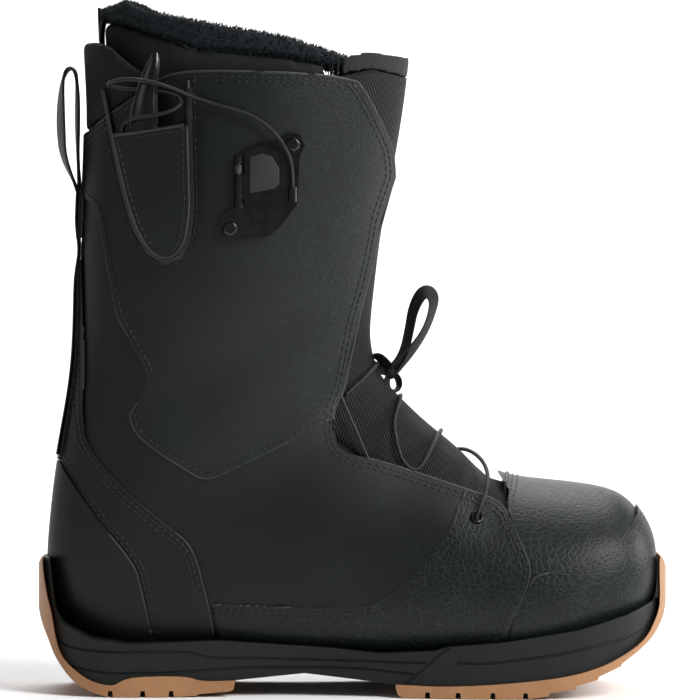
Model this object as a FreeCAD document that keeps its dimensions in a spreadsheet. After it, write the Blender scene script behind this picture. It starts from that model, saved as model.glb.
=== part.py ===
import FreeCAD, Part
import math
import os

# Snowboard boot, right foot: +X to the toe, +Y to the inner side of the leg, +Z up.
# The origin is on the floor, under the middle of the boot's box.
# The lace lock and the pull handle are on the outer side, at -Y.

V = FreeCAD.Vector
doc = FreeCAD.newDocument("snowboard_boot")
sheet = doc.addObject("Spreadsheet::Sheet", "sizes")

SIZES = [
    ("boot_length", 312.0), ("boot_height", 343.0), ("box_shift", 4.8),
    ("shaft_half_width", 57.0), ("foot_half_width", 53.0), ("sole_half_width", 57.0),
    ("shell_wall", 3.0), ("overlay_wall", 1.3), ("fit_gap", 0.3),
    ("tongue_wall", 4.4), ("lace_room", 2.6), ("collar_pad", 6.0),
    ("liner_shaft_wall", 11.0), ("liner_foot_wall", 6.0), ("liner_floor", 5.0),
    ("board_thick", 2.5), ("footbed_thick", 5.0), ("stiffener_wall", 1.5),
    ("gum_wrap", 2.5), ("shank_width", 30.0), ("shank_thick", 1.6), ("heel_pad_thick", 4.0),
    ("backstay_half_width", 10.0), ("seam_gap", 0.15),
    ("webbing_width", 22.0), ("webbing_thick", 1.8), ("ribbon_width", 8.0), ("ribbon_thick", 0.8),
    ("lace_width", 2.0), ("eyelet_radius", 3.4), ("eyelet_bore", 1.7), ("eyelet_thick", 1.2),
    ("lock_plate", 2.2), ("recess_depth", 1.2), ("outlet_height", 7.0), ("lock_gap", 0.4),
    ("lever_thick", 3.0), ("lever_pad_proud", 1.2), ("pin_radius", 1.0),
    ("pin_clearance", 0.05), ("knuckle_radius", 2.2), ("rivet_radius", 3.5), ("rivet_proud", 1.8),
    ("spring_wire", 0.5), ("handle_width", 15.0), ("handle_thick", 8.0), ("handle_stand", 7.2),
    ("handle_turn", 25.0), ("pocket_room", 12.5), ("pocket_wall", 1.5), ("binding_wall", 2.0),
]
for row, (alias, value) in enumerate(SIZES, start=1):
    sheet.set(f"A{row}", alias)
    sheet.set(f"B{row}", str(value))
    sheet.setAlias(f"B{row}", alias)
doc.recompute()


def size(alias):
    return float(sheet.get(alias))


# The form and every panel outline are drawn on a boot of this length and height,
# and stretched to the sizes in the sheet.
DRAWN_LENGTH = 312.0
DRAWN_HEIGHT = 343.0
LONG = size("boot_length") / DRAWN_LENGTH
TALL = size("boot_height") / DRAWN_HEIGHT
shift = V(0, size("box_shift"), 0)


def side(x, z, y=0.0):
    """A point of the side view, drawn at (x, z)."""
    return V(x * LONG, y, z * TALL)


# ---- the form of the upper ----------------------------------------------------
# Sections fan round the instep, from the toe to the heel and up the shaft. Each one is given
# by its lower or rear point, its upper or front point, its half width as a share of the foot's
# and of the shaft's, and how far it is from the foot's flat bottom (0) to the shaft's oval (1).
SECTIONS = [
    ((151.0, 49.0), (151.0, 71.0), 0.30, 0.0, 1.0),
    ((147.0, 42.0), (147.0, 84.0), 0.56, 0.0, 0.8),
    ((138.0, 33.0), (137.0, 96.5), 0.78, 0.0, 0.5),
    ((121.0, 24.5), (121.0, 102.5), 0.93, 0.0, 0.3),
    ((96.0, 18.0), (97.0, 105.5), 1.00, 0.0, 0.15),
    ((68.0, 17.0), (72.0, 110.5), 0.98, 0.0, 0.1),
    ((36.0, 17.0), (57.0, 124.0), 0.92, 0.0, 0.1),
    ((0.0, 17.0), (41.0, 138.0), 0.85, 0.0, 0.1),
    ((-40.0, 17.0), (28.0, 150.5), 0.82, 0.0, 0.2),
    ((-84.0, 17.0), (19.0, 161.0), 0.80, 0.0, 0.3),
    ((-124.0, 20.0), (15.0, 171.0), 0.78, 0.0, 0.5),
    ((-147.0, 46.0), (14.0, 181.0), 0.40, 0.36, 0.8),
    ((-149.0, 84.0), (15.0, 193.0), 0.20, 0.58, 1.0),
    ((-144.0, 122.0), (17.0, 208.0), 0.0, 0.80, 1.0),
    ((-137.5, 160.0), (19.5, 226.0), 0.0, 0.88, 1.0),
    ((-135.5, 200.0), (23.5, 248.0), 0.0, 0.94, 1.0),
    ((-134.0, 240.0), (28.0, 270.0), 0.0, 0.98, 1.0),
    ((-132.5, 280.0), (32.0, 294.0), 0.0, 1.0, 1.0),
    ((-133.5, 316.0), (35.0, 319.0), 0.0, 1.0, 1.0),
    ((-134.5, 352.0), (37.0, 352.0), 0.0, 1.0, 1.0),
]
FOOT_SHAPE = [(0.015, 0.60), (0.11, 0.93), (0.33, 1.0), (0.60, 0.88), (0.82, 0.60), (0.95, 0.30)]
OVAL_SHAPE = [(0.04, 0.40), (0.15, 0.72), (0.35, 0.955), (0.60, 0.98), (0.82, 0.77), (0.955, 0.42)]
KNOTS = list(range(15))
# How much of a wall's thickness each of the first sections moves back from the toe.
TOE_SHARE = [1.0, 0.9, 0.6, 0.2]


def section(index, rear, front, flank):
    """One closed section, moved out by rear, front and flank at its two ends and its sides."""
    (low_x, low_z), (high_x, high_z), foot, shaft, oval = SECTIONS[index]
    end_shift = V(0, 0, 0)
    if index < len(TOE_SHARE):
        end_shift = V(TOE_SHARE[index] * flank, 0, 0)
    elif index == len(SECTIONS) - 1:
        end_shift = V(0, 0, flank)
    low = side(low_x, low_z) + end_shift
    high = side(high_x, high_z) + end_shift
    along = high - low
    reach = along.Length
    along.normalize()
    low = low - along * rear
    reach = reach + rear + front
    half = foot * size("foot_half_width") + shaft * size("shaft_half_width") + flank
    outline = [low]
    far_side = []
    for (foot_t, foot_w), (oval_t, oval_w) in zip(FOOT_SHAPE, OVAL_SHAPE):
        t = foot_t + (oval_t - foot_t) * oval
        w = foot_w + (oval_w - foot_w) * oval
        outline.append(low + along * (reach * t) + V(0, w * half, 0))
        far_side.append(low + along * (reach * t) - V(0, w * half, 0))
    outline.append(low + along * reach)
    outline.extend(reversed(far_side))
    curve = Part.BSplineCurve()
    curve.interpolate(Points=outline, Parameters=KNOTS, PeriodicFlag=True)
    return curve


def form(offsets):
    """The closed solid through all sections; offsets(index) gives rear, front and flank."""
    curves = [section(index, *offsets(index)) for index in range(len(SECTIONS))]
    rows = [curve.getPoles() for curve in curves]
    stations = [0.0]
    for before, after in zip(rows, rows[1:]):
        steps = [start.distanceToPoint(end) for start, end in zip(before, after)]
        stations.append(stations[-1] + math.sqrt(sum(steps) / len(steps)))
    lines = []
    for column in zip(*rows):
        line = Part.BSplineCurve()
        line.interpolate(Points=list(column), Parameters=stations)
        lines.append(line)
    surface = Part.BSplineSurface()
    surface.buildFromPolesMultsKnots(
        [line.getPoles() for line in lines], curves[0].getMultiplicities(),
        lines[0].getMultiplicities(), curves[0].getKnots(), lines[0].getKnots(), True, False, 3, 3)
    skin = surface.toShape()
    ends = [edge for edge in skin.Edges if edge.isClosed()]
    caps = [Part.Face(Part.Wire([edge])) for edge in ends]
    shell = Part.makeShell([skin] + caps)
    shell.sewShape()
    solid = Part.makeSolid(shell)
    solid.fix(1e-6, 1e-6, 1e-6)
    if solid.Volume < 0:
        solid.reverse()
    return solid


def even(offset):
    return lambda index: (offset, offset, offset)


FIRST_SHAFT = 13
FIRST_HEEL = 10


def liner_outside(index):
    """Inside the shell, less the heel stiffener, the tongue and the collar pad."""
    wall = size("shell_wall") + size("stiffener_wall") + 2 * size("fit_gap")
    front = size("shell_wall") + size("lace_room") + size("tongue_wall") + size("fit_gap")
    if index < 6:
        return (-wall - size("board_thick"), -wall, -wall)
    if index < FIRST_SHAFT:
        return (-wall - size("board_thick"), -front, -wall)
    if index < 16:
        return (-wall, -front, -wall)
    return (-size("shell_wall") - size("collar_pad"), -front, -wall)


def liner_inside(index):
    rear, front, flank = liner_outside(index)
    wall = size("liner_foot_wall") if index < 8 else size("liner_shaft_wall")
    floor = size("liner_floor") if index < FIRST_HEEL else wall
    return (rear - floor, front - wall, flank - wall)


def tongue_outside(index):
    front = -size("shell_wall") - size("lace_room")
    return (front, front, front)


wall = size("shell_wall")
overlay = size("overlay_wall")
gap = size("fit_gap")
outer_form = form(even(0.0))
shell_lining = form(even(-wall))
overlay_form = form(even(overlay))
second_form = form(even(2 * overlay))
liner_form = form(liner_outside)
cavity_form = form(liner_inside)
tongue_form = form(tongue_outside)
shell_skin = outer_form.cut(shell_lining)
overlay_skin = overlay_form.cut(outer_form)
second_skin = second_form.cut(overlay_form)

WIDE = 90.0
ALL = (-WIDE, WIDE)
OUTER = (-WIDE, -size("seam_gap"))
INNER = (size("seam_gap"), WIDE)


def slab(points, span):
    """A prism of a side-view outline, across the boot from span[0] to span[1]."""
    corners = [side(x, z, span[0]) for x, z in points]
    face = Part.Face(Part.makePolygon(corners + corners[:1]))
    return face.extrude(V(0, span[1] - span[0], 0))


def eased(points):
    """An outline with its corners cut twice, so that it bends instead of turning."""
    for _ in range(2):
        cut = [points[0]]
        for (x, z), (next_x, next_z) in zip(points, points[1:]):
            cut += [(0.75 * x + 0.25 * next_x, 0.75 * z + 0.25 * next_z),
                    (0.25 * x + 0.75 * next_x, 0.25 * z + 0.75 * next_z)]
        points = cut + [points[-1]]
    return points


def piece(label, shape):
    """A sub-part whose shape is set here, moved so that the origin is mid-box."""
    solids = [solid for solid in shape.Solids if solid.Volume > 5.0]
    item = doc.addObject("Part::Feature", label)
    item.Shape = solids[0] if len(solids) == 1 else Part.makeCompound(solids)
    item.Placement = FreeCAD.Placement(shift, FreeCAD.Rotation())
    item.Label = label
    return item


subparts = []

# ---- outlines of the leather, drawn in the side view ---------------------------
FLAP_EDGE = [
    (3.5, 302.5), (8.5, 295.5), (15, 283), (21, 270), (22.5, 256), (19, 247), (15, 235), (12, 217.5),
    (8.5, 202.5), (3, 183.5), (0, 168), (-3, 152), (-7.5, 141), (-8.5, 131), (-6.5, 123),
    (-1.5, 119.5), (18.5, 114.5), (41.5, 107), (56, 102), (67, 98.5), (74, 95), (77, 91),
]
VAMP_SEAM = [(77, 91), (84, 75), (88.5, 64), (86, 52.5), (79.5, 40.5), (73, 27.5), (70, 5)]
REAR_TOP = [(-165, 270), (-133, 277.5), (-116.5, 289), (-109.5, 293), (-97, 302), (-90, 305.5)]
TOP_EDGE = REAR_TOP + [(-81, 307), (-65, 307.5), (-30, 306.5), (-8, 305)]
FLOOR_LINE = 20.0

quarter_outline = TOP_EDGE + FLAP_EDGE + VAMP_SEAM[1:] + [(-165, 5)]
vamp_outline = [(71.5, 125), (74, 108), (78.5, 101), (77.6, 91.5)] + [
    (x + 0.4, z) for x, z in VAMP_SEAM[1:]] + [(170, 5), (170, 125)]
for label, span in (("quarter_outer", OUTER), ("quarter_inner", INNER)):
    subparts.append(piece(label, shell_skin.common(slab(quarter_outline, span))))
subparts.append(piece("vamp", shell_skin.common(slab(vamp_outline, ALL))))

CUFF_EDGE = [
    (-165, 247.5), (-134.5, 247.5), (-126.5, 241.5), (-124, 231), (-121, 215.5), (-117, 195), (-115.5, 187),
    (-105.5, 170), (-99, 158.5), (-100.5, 152), (-110, 138.5), (-106.5, 129.5), (-95.5, 120.5),
    (-74, 107), (-69, 107), (-42, 119.5), (-15.5, 133), (-8.5, 136.5),
]
cuff_outline = CUFF_EDGE[::-1] + TOP_EDGE + FLAP_EDGE[:14]
REAR_PANEL_EDGE = [
    (-165, 215), (-134.5, 215), (-133.5, 182), (-133, 165), (-133.5, 140.5), (-132, 127), (-126.5, 117),
    (-112.5, 101.5), (-92.5, 85), (-81, 76.5), (-76.5, 68), (-70.5, 45), (-66, FLOOR_LINE),
]
heel_strap_outline = REAR_PANEL_EDGE + [(-165, FLOOR_LINE)]
forefoot_outline = [
    (57, 101.5), (67, 98.5), (74, 95), (77, 91), (84, 75), (88.5, 64), (86, 52.5), (79.5, 40.5),
    (75, FLOOR_LINE), (-63, FLOOR_LINE), (-68, 45), (-20, 43.4), (1, 43.6), (11, 45.5), (19, 49.8),
    (27, 56.5), (36.5, 67), (47, 80.5),
]
toe_cap_outline = [
    (89.5, 60), (101.5, 62), (117.5, 68.5), (130.5, 74), (139, 82), (143, 90), (144, 100), (170, 100),
    (170, FLOOR_LINE), (76, FLOOR_LINE), (80, 40.5), (86.5, 52.5),
]
for label, span in (("outer", OUTER), ("inner", INNER)):
    subparts.append(piece("cuff_panel_" + label, overlay_skin.common(slab(cuff_outline, span))))
    subparts.append(piece("heel_strap_" + label, overlay_skin.common(slab(heel_strap_outline, span))))
    subparts.append(piece("forefoot_panel_" + label, overlay_skin.common(slab(forefoot_outline, span))))
subparts.append(piece("toe_cap", overlay_skin.common(slab(toe_cap_outline, ALL))))

HEEL_COUNTER_EDGE = [
    (-165, 118), (-146, 114.5), (-138.5, 104), (-126, 87), (-113.5, 72.5), (-106, 62), (-102, 45),
    (-97, FLOOR_LINE),
]
backstay_span = (-size("backstay_half_width"), size("backstay_half_width"))
backstay_outline = [(-165, 119), (-165, 214), (-120, 214), (-120, 113), (-145, 115.2)]
subparts.append(piece("heel_counter", second_skin.common(
    slab(HEEL_COUNTER_EDGE + [(-165, FLOOR_LINE)], ALL))))
subparts.append(piece("backstay", second_skin.common(slab(backstay_outline, backstay_span))))

# ---- padded collar, tongue and liner --------------------------------------------
collar_outline = [
    (-165, 270.4), (-133, 277.9), (-116.5, 289.4), (-109.5, 293.4), (-97, 302.4), (-92, 305), (-102, 307),
    (-111, 314), (-118, 320), (-125.5, 323.5), (-165, 323.5),
]
collar_core = outer_form.cut(liner_form)
subparts.append(piece("achilles_collar", collar_core.common(slab(collar_outline, ALL))))

tongue_outline = [
    (-12, 304), (-30, 250), (-35, 190), (-30, 150), (-10, 128), (20, 108), (60, 92), (78, 88), (78, 125),
    (60, 160), (60, 306), (26, 306), (10, 309),
]
tongue_core = tongue_form.cut(liner_form)
subparts.append(piece("tongue", tongue_core.common(slab(tongue_outline, ALL))))
binding_outline = [
    (-12, 304.4), (10, 309.4), (26, 306.4), (60, 306.4), (60, 316), (26, 316), (8, 318), (-12, 313),
]
subparts.append(piece("tongue_binding", tongue_core.common(slab(binding_outline, ALL))))

FUR_LOW = [
    (-160, 334), (-122, 335), (-115.5, 333.5), (-99.5, 328), (-76.5, 320.5), (-42, 317),
    (-20.5, 313.5), (-4, 310),
    (8, 308),
]
liner_outline = FUR_LOW + [(20, 306), (60, 305), (60, 160), (90, 140), (170, 110), (170, 5), (-165, 5)]
LINER_SLOT = [(-12, 330), (-22, 260), (-22, 180), (-8, 150), (30, 125), (60, 330)]
liner_wall_form = liner_form.cut(cavity_form)
LINER_TONGUE = [
    (-11, 304), (-21.5, 260), (-21.5, 180.3), (-7.6, 150.5), (29.4, 126.2), (54, 300), (20, 304.5),
]
subparts.append(piece("liner_tongue", liner_wall_form.common(slab(LINER_TONGUE, ALL))))
fur_outline = [(x, z + 0.3) for x, z in FUR_LOW] + [
    (8, 312), (-4.5, 315.5), (-35.5, 324.5), (-51.5, 327), (-81, 333), (-102, 338), (-111, 343),
    (-117, 340),
    (-122, 339.5), (-160, 339),
]
subparts.append(piece("liner_fur_collar", liner_wall_form.common(slab(fur_outline, ALL))))

# ---- inside the shoe: stiffeners, boards and footbed -----------------------------
board_form = form(even(-wall - gap))
hollow_form = form(even(-wall - gap - size("stiffener_wall")))
board_top = FLOOR_LINE + size("board_thick") + 0.8
BOARD_LINE = [(-165, board_top), (92, board_top + 0.8), (121, 31), (137, 39.5), (148, 51), (170, 66)]
board_outline = BOARD_LINE + [(170, 5), (-165, 5)]
lasting_board = board_form.common(slab(board_outline, ALL))
subparts.append(piece("lasting_board", lasting_board))

stiffener_skin = board_form.cut(hollow_form)
stiffener_outline = [
    (-165, board_top + 0.5), (-165, 104), (-132, 94), (-112, 70), (-98, 45), (-86, board_top + 0.5),
]
subparts.append(piece("heel_stiffener", stiffener_skin.common(slab(stiffener_outline, ALL))))
puff_outline = [
    (100, 26.5), (121, 32), (137, 40.5), (148, 52), (170, 67), (170, 98), (134, 96), (116, 75),
]
toe_puff = stiffener_skin.common(slab(puff_outline, ALL))
subparts.append(piece("toe_puff", toe_puff))
liner_sock = liner_wall_form.common(slab(liner_outline, ALL)).cut(slab(LINER_SLOT, ALL))
subparts.append(piece("liner", liner_sock.cut(lasting_board).cut(toe_puff)))

footbed_low = 17 + size("shell_wall") + size("stiffener_wall") + 2 * gap + size("board_thick")
footbed_top = footbed_low + size("liner_floor") + size("footbed_thick")
footbed_outline = [
    (-165, 5), (-165, footbed_top + 2), (-110, footbed_top), (90, footbed_top), (120, footbed_top + 7),
    (136, 54), (170, 68), (170, 5),
]
subparts.append(piece("footbed", cavity_form.common(slab(footbed_outline, ALL))))

# ---- sole -----------------------------------------------------------------------
SOLE_PLAN = [
    (-154, 0), (-150.5, 20), (-141, 35), (-120, 44.5), (-85, 45), (-50, 43), (-10, 44), (30, 51), (65, 56),
    (95, 57), (122, 53.5), (139, 43.5), (149.5, 28), (154.5, 12), (155, 0),
]
DRAWN_SOLE = 57.0


def sole_block(grow, high):
    """The sole's plan, grown by a wall, from the floor up."""
    across = (size("sole_half_width") + grow) / DRAWN_SOLE
    along = 1 + grow / 155.0
    near = [V(x * LONG * along, -y * across, 0) for x, y in SOLE_PLAN]
    far = [V(point.x, -point.y, 0) for point in reversed(near[1:-1])]
    plan = Part.BSplineCurve()
    plan.interpolate(Points=near + far, PeriodicFlag=True)
    return Part.Face(Part.Wire([plan.toShape()])).extrude(V(0, 0, high))


MIDSOLE_TOP = [
    (-157, 67.5), (-150, 67), (-148, 50), (-146.5, 41), (-142.5, 35), (-129, 28.5), (-110, 26), (-65, 27.5),
    (-10, 24), (14, 21.5), (41, 23), (47, 25), (75, 27.5), (112, 33.5), (136, 40.5), (154, 48), (160, 50),
]
HEEL_LINE = eased([
    (-153.8, 66), (-153, 58.7), (-151.1, 48.6), (-148.2, 38.5), (-146.8, 30), (-144, 19.7),
    (-136.7, 12.5), (-127.3, 6.9), (-117.2, 5.2), (-112.9, 8.2), (-105.6, 10), (-81, 10.3), (-73.8, 7.5),
    (-57, 8),
])
TOE_LINE = eased([
    (22, 6.5), (47, 5.6), (79.5, 7.6), (106.5, 10.8), (123, 15.5), (133.5, 20.5), (145.5, 27.8),
    (151.6, 38.5), (153.2, 44),
])
GUM_LINE = [(-160, 66)] + HEEL_LINE + [(-23, 11.5)] + TOE_LINE + [(160, 46)]
HEEL_GUM = HEEL_LINE + [
    (-58, 3.4), (-60, 2.6), (-75, 1.4), (-76, 0.6), (-88, 0),
] + eased([
    (-120, 0), (-128, 2.2), (-137, 6.7), (-146.4, 18.3), (-150.6, 28), (-153.2, 33), (-156, 40), (-158, 50),
    (-157, 62), (-154.6, 66.6),
])
TOE_GUM = TOE_LINE + eased([
    (153.4, 50), (153, 67), (154.4, 68.5), (157.6, 62), (158.4, 50), (156, 39), (150.5, 30), (143, 23.5),
    (133, 16.8),
]) + [
    (132.6, 15.6), (121.4, 10.8), (121, 9.4), (110.4, 6.4), (110, 5), (97.4, 3), (97, 1.6), (86, 0),
    (25.5, 0), (23, 1.6), (22, 4.5),
]
midsole_block = sole_block(0.0, 80 * TALL)
sole_cup = midsole_block.common(slab(MIDSOLE_TOP + GUM_LINE[::-1], ALL)).cut(second_form)
gum_block = sole_block(size("gum_wrap"), 80 * TALL).cut(second_form).cut(sole_cup)
GROOVE_DEEP = 3.0
gum_units = [
    ("outsole_heel", HEEL_GUM, (-132, -120, -104, -90)),
    ("outsole_forefoot", TOE_GUM, (36, 51, 68, 84)),
]
for label, outline, groove_places in gum_units:
    gum = gum_block.common(slab(outline, ALL))
    for groove_x in groove_places:
        groove = [
            (groove_x, -1), (groove_x + 3, -1), (groove_x + 2.5, GROOVE_DEEP), (groove_x + 0.5, GROOVE_DEEP),
        ]
        gum = gum.cut(slab(groove, ALL))
    subparts.append(piece(label, gum))

heel_pad = doc.addObject("Part::Cylinder", "heel_shock_pad")
heel_pad.setExpression("Radius", "sizes.sole_half_width * 0.4")
heel_pad.setExpression("Height", "sizes.heel_pad_thick * 0.75")
heel_pad.Placement = FreeCAD.Placement(side(-112, 11 / TALL) + shift, FreeCAD.Rotation())
shank = doc.addObject("Part::Box", "shank")
shank.Length = 120 * LONG
shank.setExpression("Width", "sizes.shank_width")
shank.setExpression("Height", "sizes.shank_thick")
shank.Placement = FreeCAD.Placement(
    side(-78, 12.2 / TALL, -size("shank_width") / 2) + shift, FreeCAD.Rotation())
doc.recompute()
for hidden in (heel_pad, shank):
    hollow = hidden.Shape.copy()
    hollow.translate(-shift)
    sole_cup = sole_cup.cut(hollow)
subparts.append(piece("midsole", sole_cup))
subparts.append(heel_pad)
subparts.append(shank)

# ---- pocket for the pull handle -----------------------------------------------------
POCKET = [
    (-122, 300), (-117.5, 278), (-113, 256.5), (-109.5, 243), (-105.5, 231), (-99, 219.5), (-91, 215),
    (-84.5, 217.5), (-80.5, 225), (-78.5, 240), (-79, 260), (-79.5, 277), (-79.5, 300),
]
POCKET_MOUTH = [(-130, 274), (-118, 276), (-109, 277), (-81.5, 281), (-70, 282), (-70, 200), (-130, 200)]


def outline_slab(points, grow, span):
    """A prism of an outline, grown or shrunk all round."""
    corners = [side(x, z, span[0]) for x, z in points]
    face = Part.Face(Part.makePolygon(corners + corners[:1]))
    if grow:
        face = Part.Face(face.makeOffset2D(grow, 2).Wires[0])
    return face.extrude(V(0, span[1] - span[0], 0))


pocket_inner_form = form(even(overlay + size("pocket_room")))
pocket_outer_form = form(even(overlay + size("pocket_room") + size("pocket_wall")))
binding_form = form(even(overlay + size("binding_wall") * 0.8))
mouth = slab(POCKET_MOUTH, OUTER)
pocket_prism = outline_slab(POCKET, 0, OUTER).common(mouth)
pocket_hollow = outline_slab(POCKET, -size("pocket_wall"), OUTER)
pocket_ring = outline_slab(POCKET, size("binding_wall"), OUTER).cut(outline_slab(POCKET, 0.05, OUTER))
subparts.append(piece("pocket_panel", pocket_outer_form.cut(pocket_inner_form).common(pocket_prism)))
subparts.append(piece("pocket_gusset", pocket_inner_form.cut(overlay_form).common(
    pocket_prism.cut(pocket_hollow))))
subparts.append(piece("pocket_binding", binding_form.cut(overlay_form).common(pocket_ring.common(
    slab([(-130, 299), (-70, 299), (-70, 200), (-130, 200)], OUTER)))))


def outer_skin_y(x, z):
    """Where the outer side of the overlay lies at a side-view point."""
    ray = Part.makeLine(side(x, z, -WIDE), side(x, z, 0))
    return overlay_form.common(ray).BoundBox.YMin


# ---- pull handle: a tapered horn, straight at the front and drawn in at the back ---------
HANDLE_RINGS = [
    (236, -97.0, 0.56, 0.60), (240, -97.5, 0.66, 0.80), (256, -99.5, 0.86, 1.0), (276, -101.0, 1.0, 1.0),
    (286, -101.2, 1.0, 1.0), (294, -100.4, 0.87, 0.96), (304, -98.4, 0.66, 0.84), (312, -96.4, 0.44, 0.66),
    (316.5, -95.4, 0.20, 0.36),
]
turn = math.radians(size("handle_turn"))
away = V(-math.sin(turn), -math.cos(turn), 0)
handle_foot = V(-98 * LONG, outer_skin_y(-98, 276), 0) + away * size("handle_stand")
rings = []
for number, (ring_z, ring_x, wide, thick) in enumerate(HANDLE_RINGS):
    ring = doc.addObject("Part::Ellipse", f"handle_ring_{number}")
    ring.setExpression("MajorRadius", f"sizes.handle_width / 2 * {wide}")
    ring.setExpression("MinorRadius", f"sizes.handle_thick / 2 * {thick}")
    middle = V(ring_x * LONG, handle_foot.y, ring_z * TALL)
    ring.Placement = FreeCAD.Placement(
        middle + shift, FreeCAD.Rotation(V(0, 0, 1), -size("handle_turn")))
    rings.append(ring)
handle = doc.addObject("Part::Loft", "pull_handle")
handle.Sections = rings
handle.Solid = True
subparts.append(handle)

# The cord comes out of the lock, goes round the handle and down into the pocket beside it.
HANDLE_CORD = [
    (-28.5, -60.5, 250.5), (-28.5, -60.5, 258.0), (-30.0, -61.2, 266.0), (-34.5, -61.8, 274.0),
    (-41.0, -62.2, 281.0),
    (-49.0, -62.2, 286.0), (-58.5, -61.8, 289.0), (-68.0, -60.6, 291.5), (-77.0, -60.0, 294.5),
    (-85.0, -61.2, 298.0), (-93.2, -62.4, 301.0), (-102.2, -60.8, 303.0), (-110.5, -56.6, 303.6),
    (-117.8, -50.5, 302.6), (-120.0, -44.0, 300.8), (-114.5, -41.4, 299.6), (-106.5, -44.8, 298.8),
    (-98.6, -49.1, 298.0), (-90.5, -53.0, 297.0), (-83.5, -57.4, 294.6), (-82.5, -62.6, 290.6),
    (-88.8, -65.0, 287.0), (-97.2, -63.4, 285.4), (-105.4, -59.0, 284.4), (-111.2, -53.2, 282.2),
    (-112.2, -48.4, 276.4), (-111.0, -47.0, 269.0), (-110.0, -48.0, 262.0),
]

# ---- lace lock -------------------------------------------------------------------------
FACING = FreeCAD.Rotation(V(1, 0, 0), 90)
lock_face_y = outer_skin_y(-44, 250) - size("lock_plate")
LOCK_PLATE = [
    (-62, 226.5), (-56, 225), (-40, 227), (-34, 232), (-26.5, 242), (-25.5, 256), (-25, 266),
    (-22.5, 271), (-25, 276.5),
    (-31, 277.5), (-36, 273.5), (-44, 273), (-52, 270), (-57.5, 263), (-58.5, 240), (-63.5, 236),
    (-65, 231),
]
knuckle_x = -54.8
knuckle_y = lock_face_y - size("lock_gap") - size("knuckle_radius")
PIN_LOW, BARREL_LOW, BARREL_HIGH, PIN_HIGH = 240.5, 245.0, 261.5, 266.0


def lock_cylinder(label, radius, low, high):
    """A cylinder on the lever's hinge axis, radius given as a formula of the sheet."""
    item = doc.addObject("Part::Cylinder", label)
    item.setExpression("Radius", radius)
    item.Height = (high - low) * TALL
    item.Placement = FreeCAD.Placement(side(knuckle_x, low, knuckle_y) + shift, FreeCAD.Rotation())
    return item


def boolean(kind, label, base, tool):
    item = doc.addObject("Part::" + kind, label)
    item.Base = base
    item.Tool = tool
    return item


def upright_prism(label, outline, near_y, far_y):
    """A flat plate that faces outwards, between two planes across the boot."""
    item = doc.addObject("Part::Feature", label)
    item.Shape = slab(outline, (far_y, near_y))
    item.Placement = FreeCAD.Placement(shift, FreeCAD.Rotation())
    return item


plate_block = upright_prism("lock_plate_block", LOCK_PLATE, lock_face_y + 8, lock_face_y)
form_tool = piece("lock_form_tool", overlay_form)
plate_cut = boolean("Cut", "lock_plate_cut", plate_block, form_tool)
low_knuckle = lock_cylinder("lock_low_knuckle", "sizes.knuckle_radius", PIN_LOW, BARREL_LOW - 0.4)
high_knuckle = lock_cylinder("lock_high_knuckle", "sizes.knuckle_radius", BARREL_HIGH + 0.4, PIN_HIGH)
LUG = [(-57, PIN_LOW), (-52.6, PIN_LOW), (-52.6, BARREL_LOW - 0.4), (-57, BARREL_LOW - 0.4)]
HIGH_LUG = [(-57, BARREL_HIGH + 0.4), (-52.6, BARREL_HIGH + 0.4), (-52.6, PIN_HIGH), (-57, PIN_HIGH)]
low_lug = upright_prism("lock_low_lug", LUG, lock_face_y, knuckle_y)
high_lug = upright_prism("lock_high_lug", HIGH_LUG, lock_face_y, knuckle_y)
plate_whole = doc.addObject("Part::MultiFuse", "lock_plate_whole")
outlet = doc.addObject("Part::Cylinder", "lock_cord_outlet")
outlet.setExpression("Radius", "sizes.lace_width * 1.1")
outlet.setExpression("Height", "sizes.outlet_height")
outlet_foot = V(*HANDLE_CORD[0]) - V(0, 0, size("outlet_height"))
outlet.Placement = FreeCAD.Placement(outlet_foot + shift, FreeCAD.Rotation())
plate_whole.Shapes = [plate_cut, low_knuckle, high_knuckle, low_lug, high_lug, outlet]
pin_hole = lock_cylinder("lock_pin_hole", "sizes.pin_radius", PIN_LOW - 5, PIN_HIGH + 5)
plate_bored = boolean("Cut", "lock_plate_bored", plate_whole, pin_hole)
lace_hole = doc.addObject("Part::Cylinder", "lock_lace_hole")
lace_hole.setExpression("Radius", "sizes.lace_width * 2")
lace_hole.setExpression("Height", "sizes.recess_depth")
lace_hole.Placement = FreeCAD.Placement(
    side(-45, 237, lock_face_y + size("recess_depth")) + shift, FACING)
lock_base = boolean("Cut", "lock_base", plate_bored, lace_hole)
subparts.append(lock_base)
lock_pin = lock_cylinder("lock_pin", "sizes.pin_radius", PIN_LOW, PIN_HIGH)
subparts.append(lock_pin)

LEVER = [
    (-54.8, BARREL_LOW), (-51.8, BARREL_LOW), (-51.8, 242.5), (-34, 246.5), (-31.5, 250), (-31, 261),
    (-34.5, 267), (-40, 270.5), (-46, 270.5), (-51.8, 268), (-51.8, BARREL_HIGH), (-54.8, BARREL_HIGH),
]
lever_y = lock_face_y - size("lock_gap")
lever_plate = upright_prism("lever_plate", LEVER, lever_y, lever_y - size("lever_thick"))
lever_barrel = lock_cylinder("lever_barrel", "sizes.knuckle_radius", BARREL_LOW, BARREL_HIGH)
lever_whole = boolean("Fuse", "lever_whole", lever_plate, lever_barrel)
lever_bore = lock_cylinder(
    "lever_bore", "sizes.pin_radius + sizes.pin_clearance", PIN_LOW - 5, PIN_HIGH + 5)
lever_cut = boolean("Cut", "lever_cut", lever_whole, lever_bore)
spring_seat = lock_cylinder(
    "spring_seat", "sizes.pin_radius + 4 * sizes.spring_wire", BARREL_HIGH - 4.6, BARREL_HIGH + 1)
lever_seated = boolean("Cut", "lock_lever", lever_cut, spring_seat)
subparts.append(lever_seated)
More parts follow.
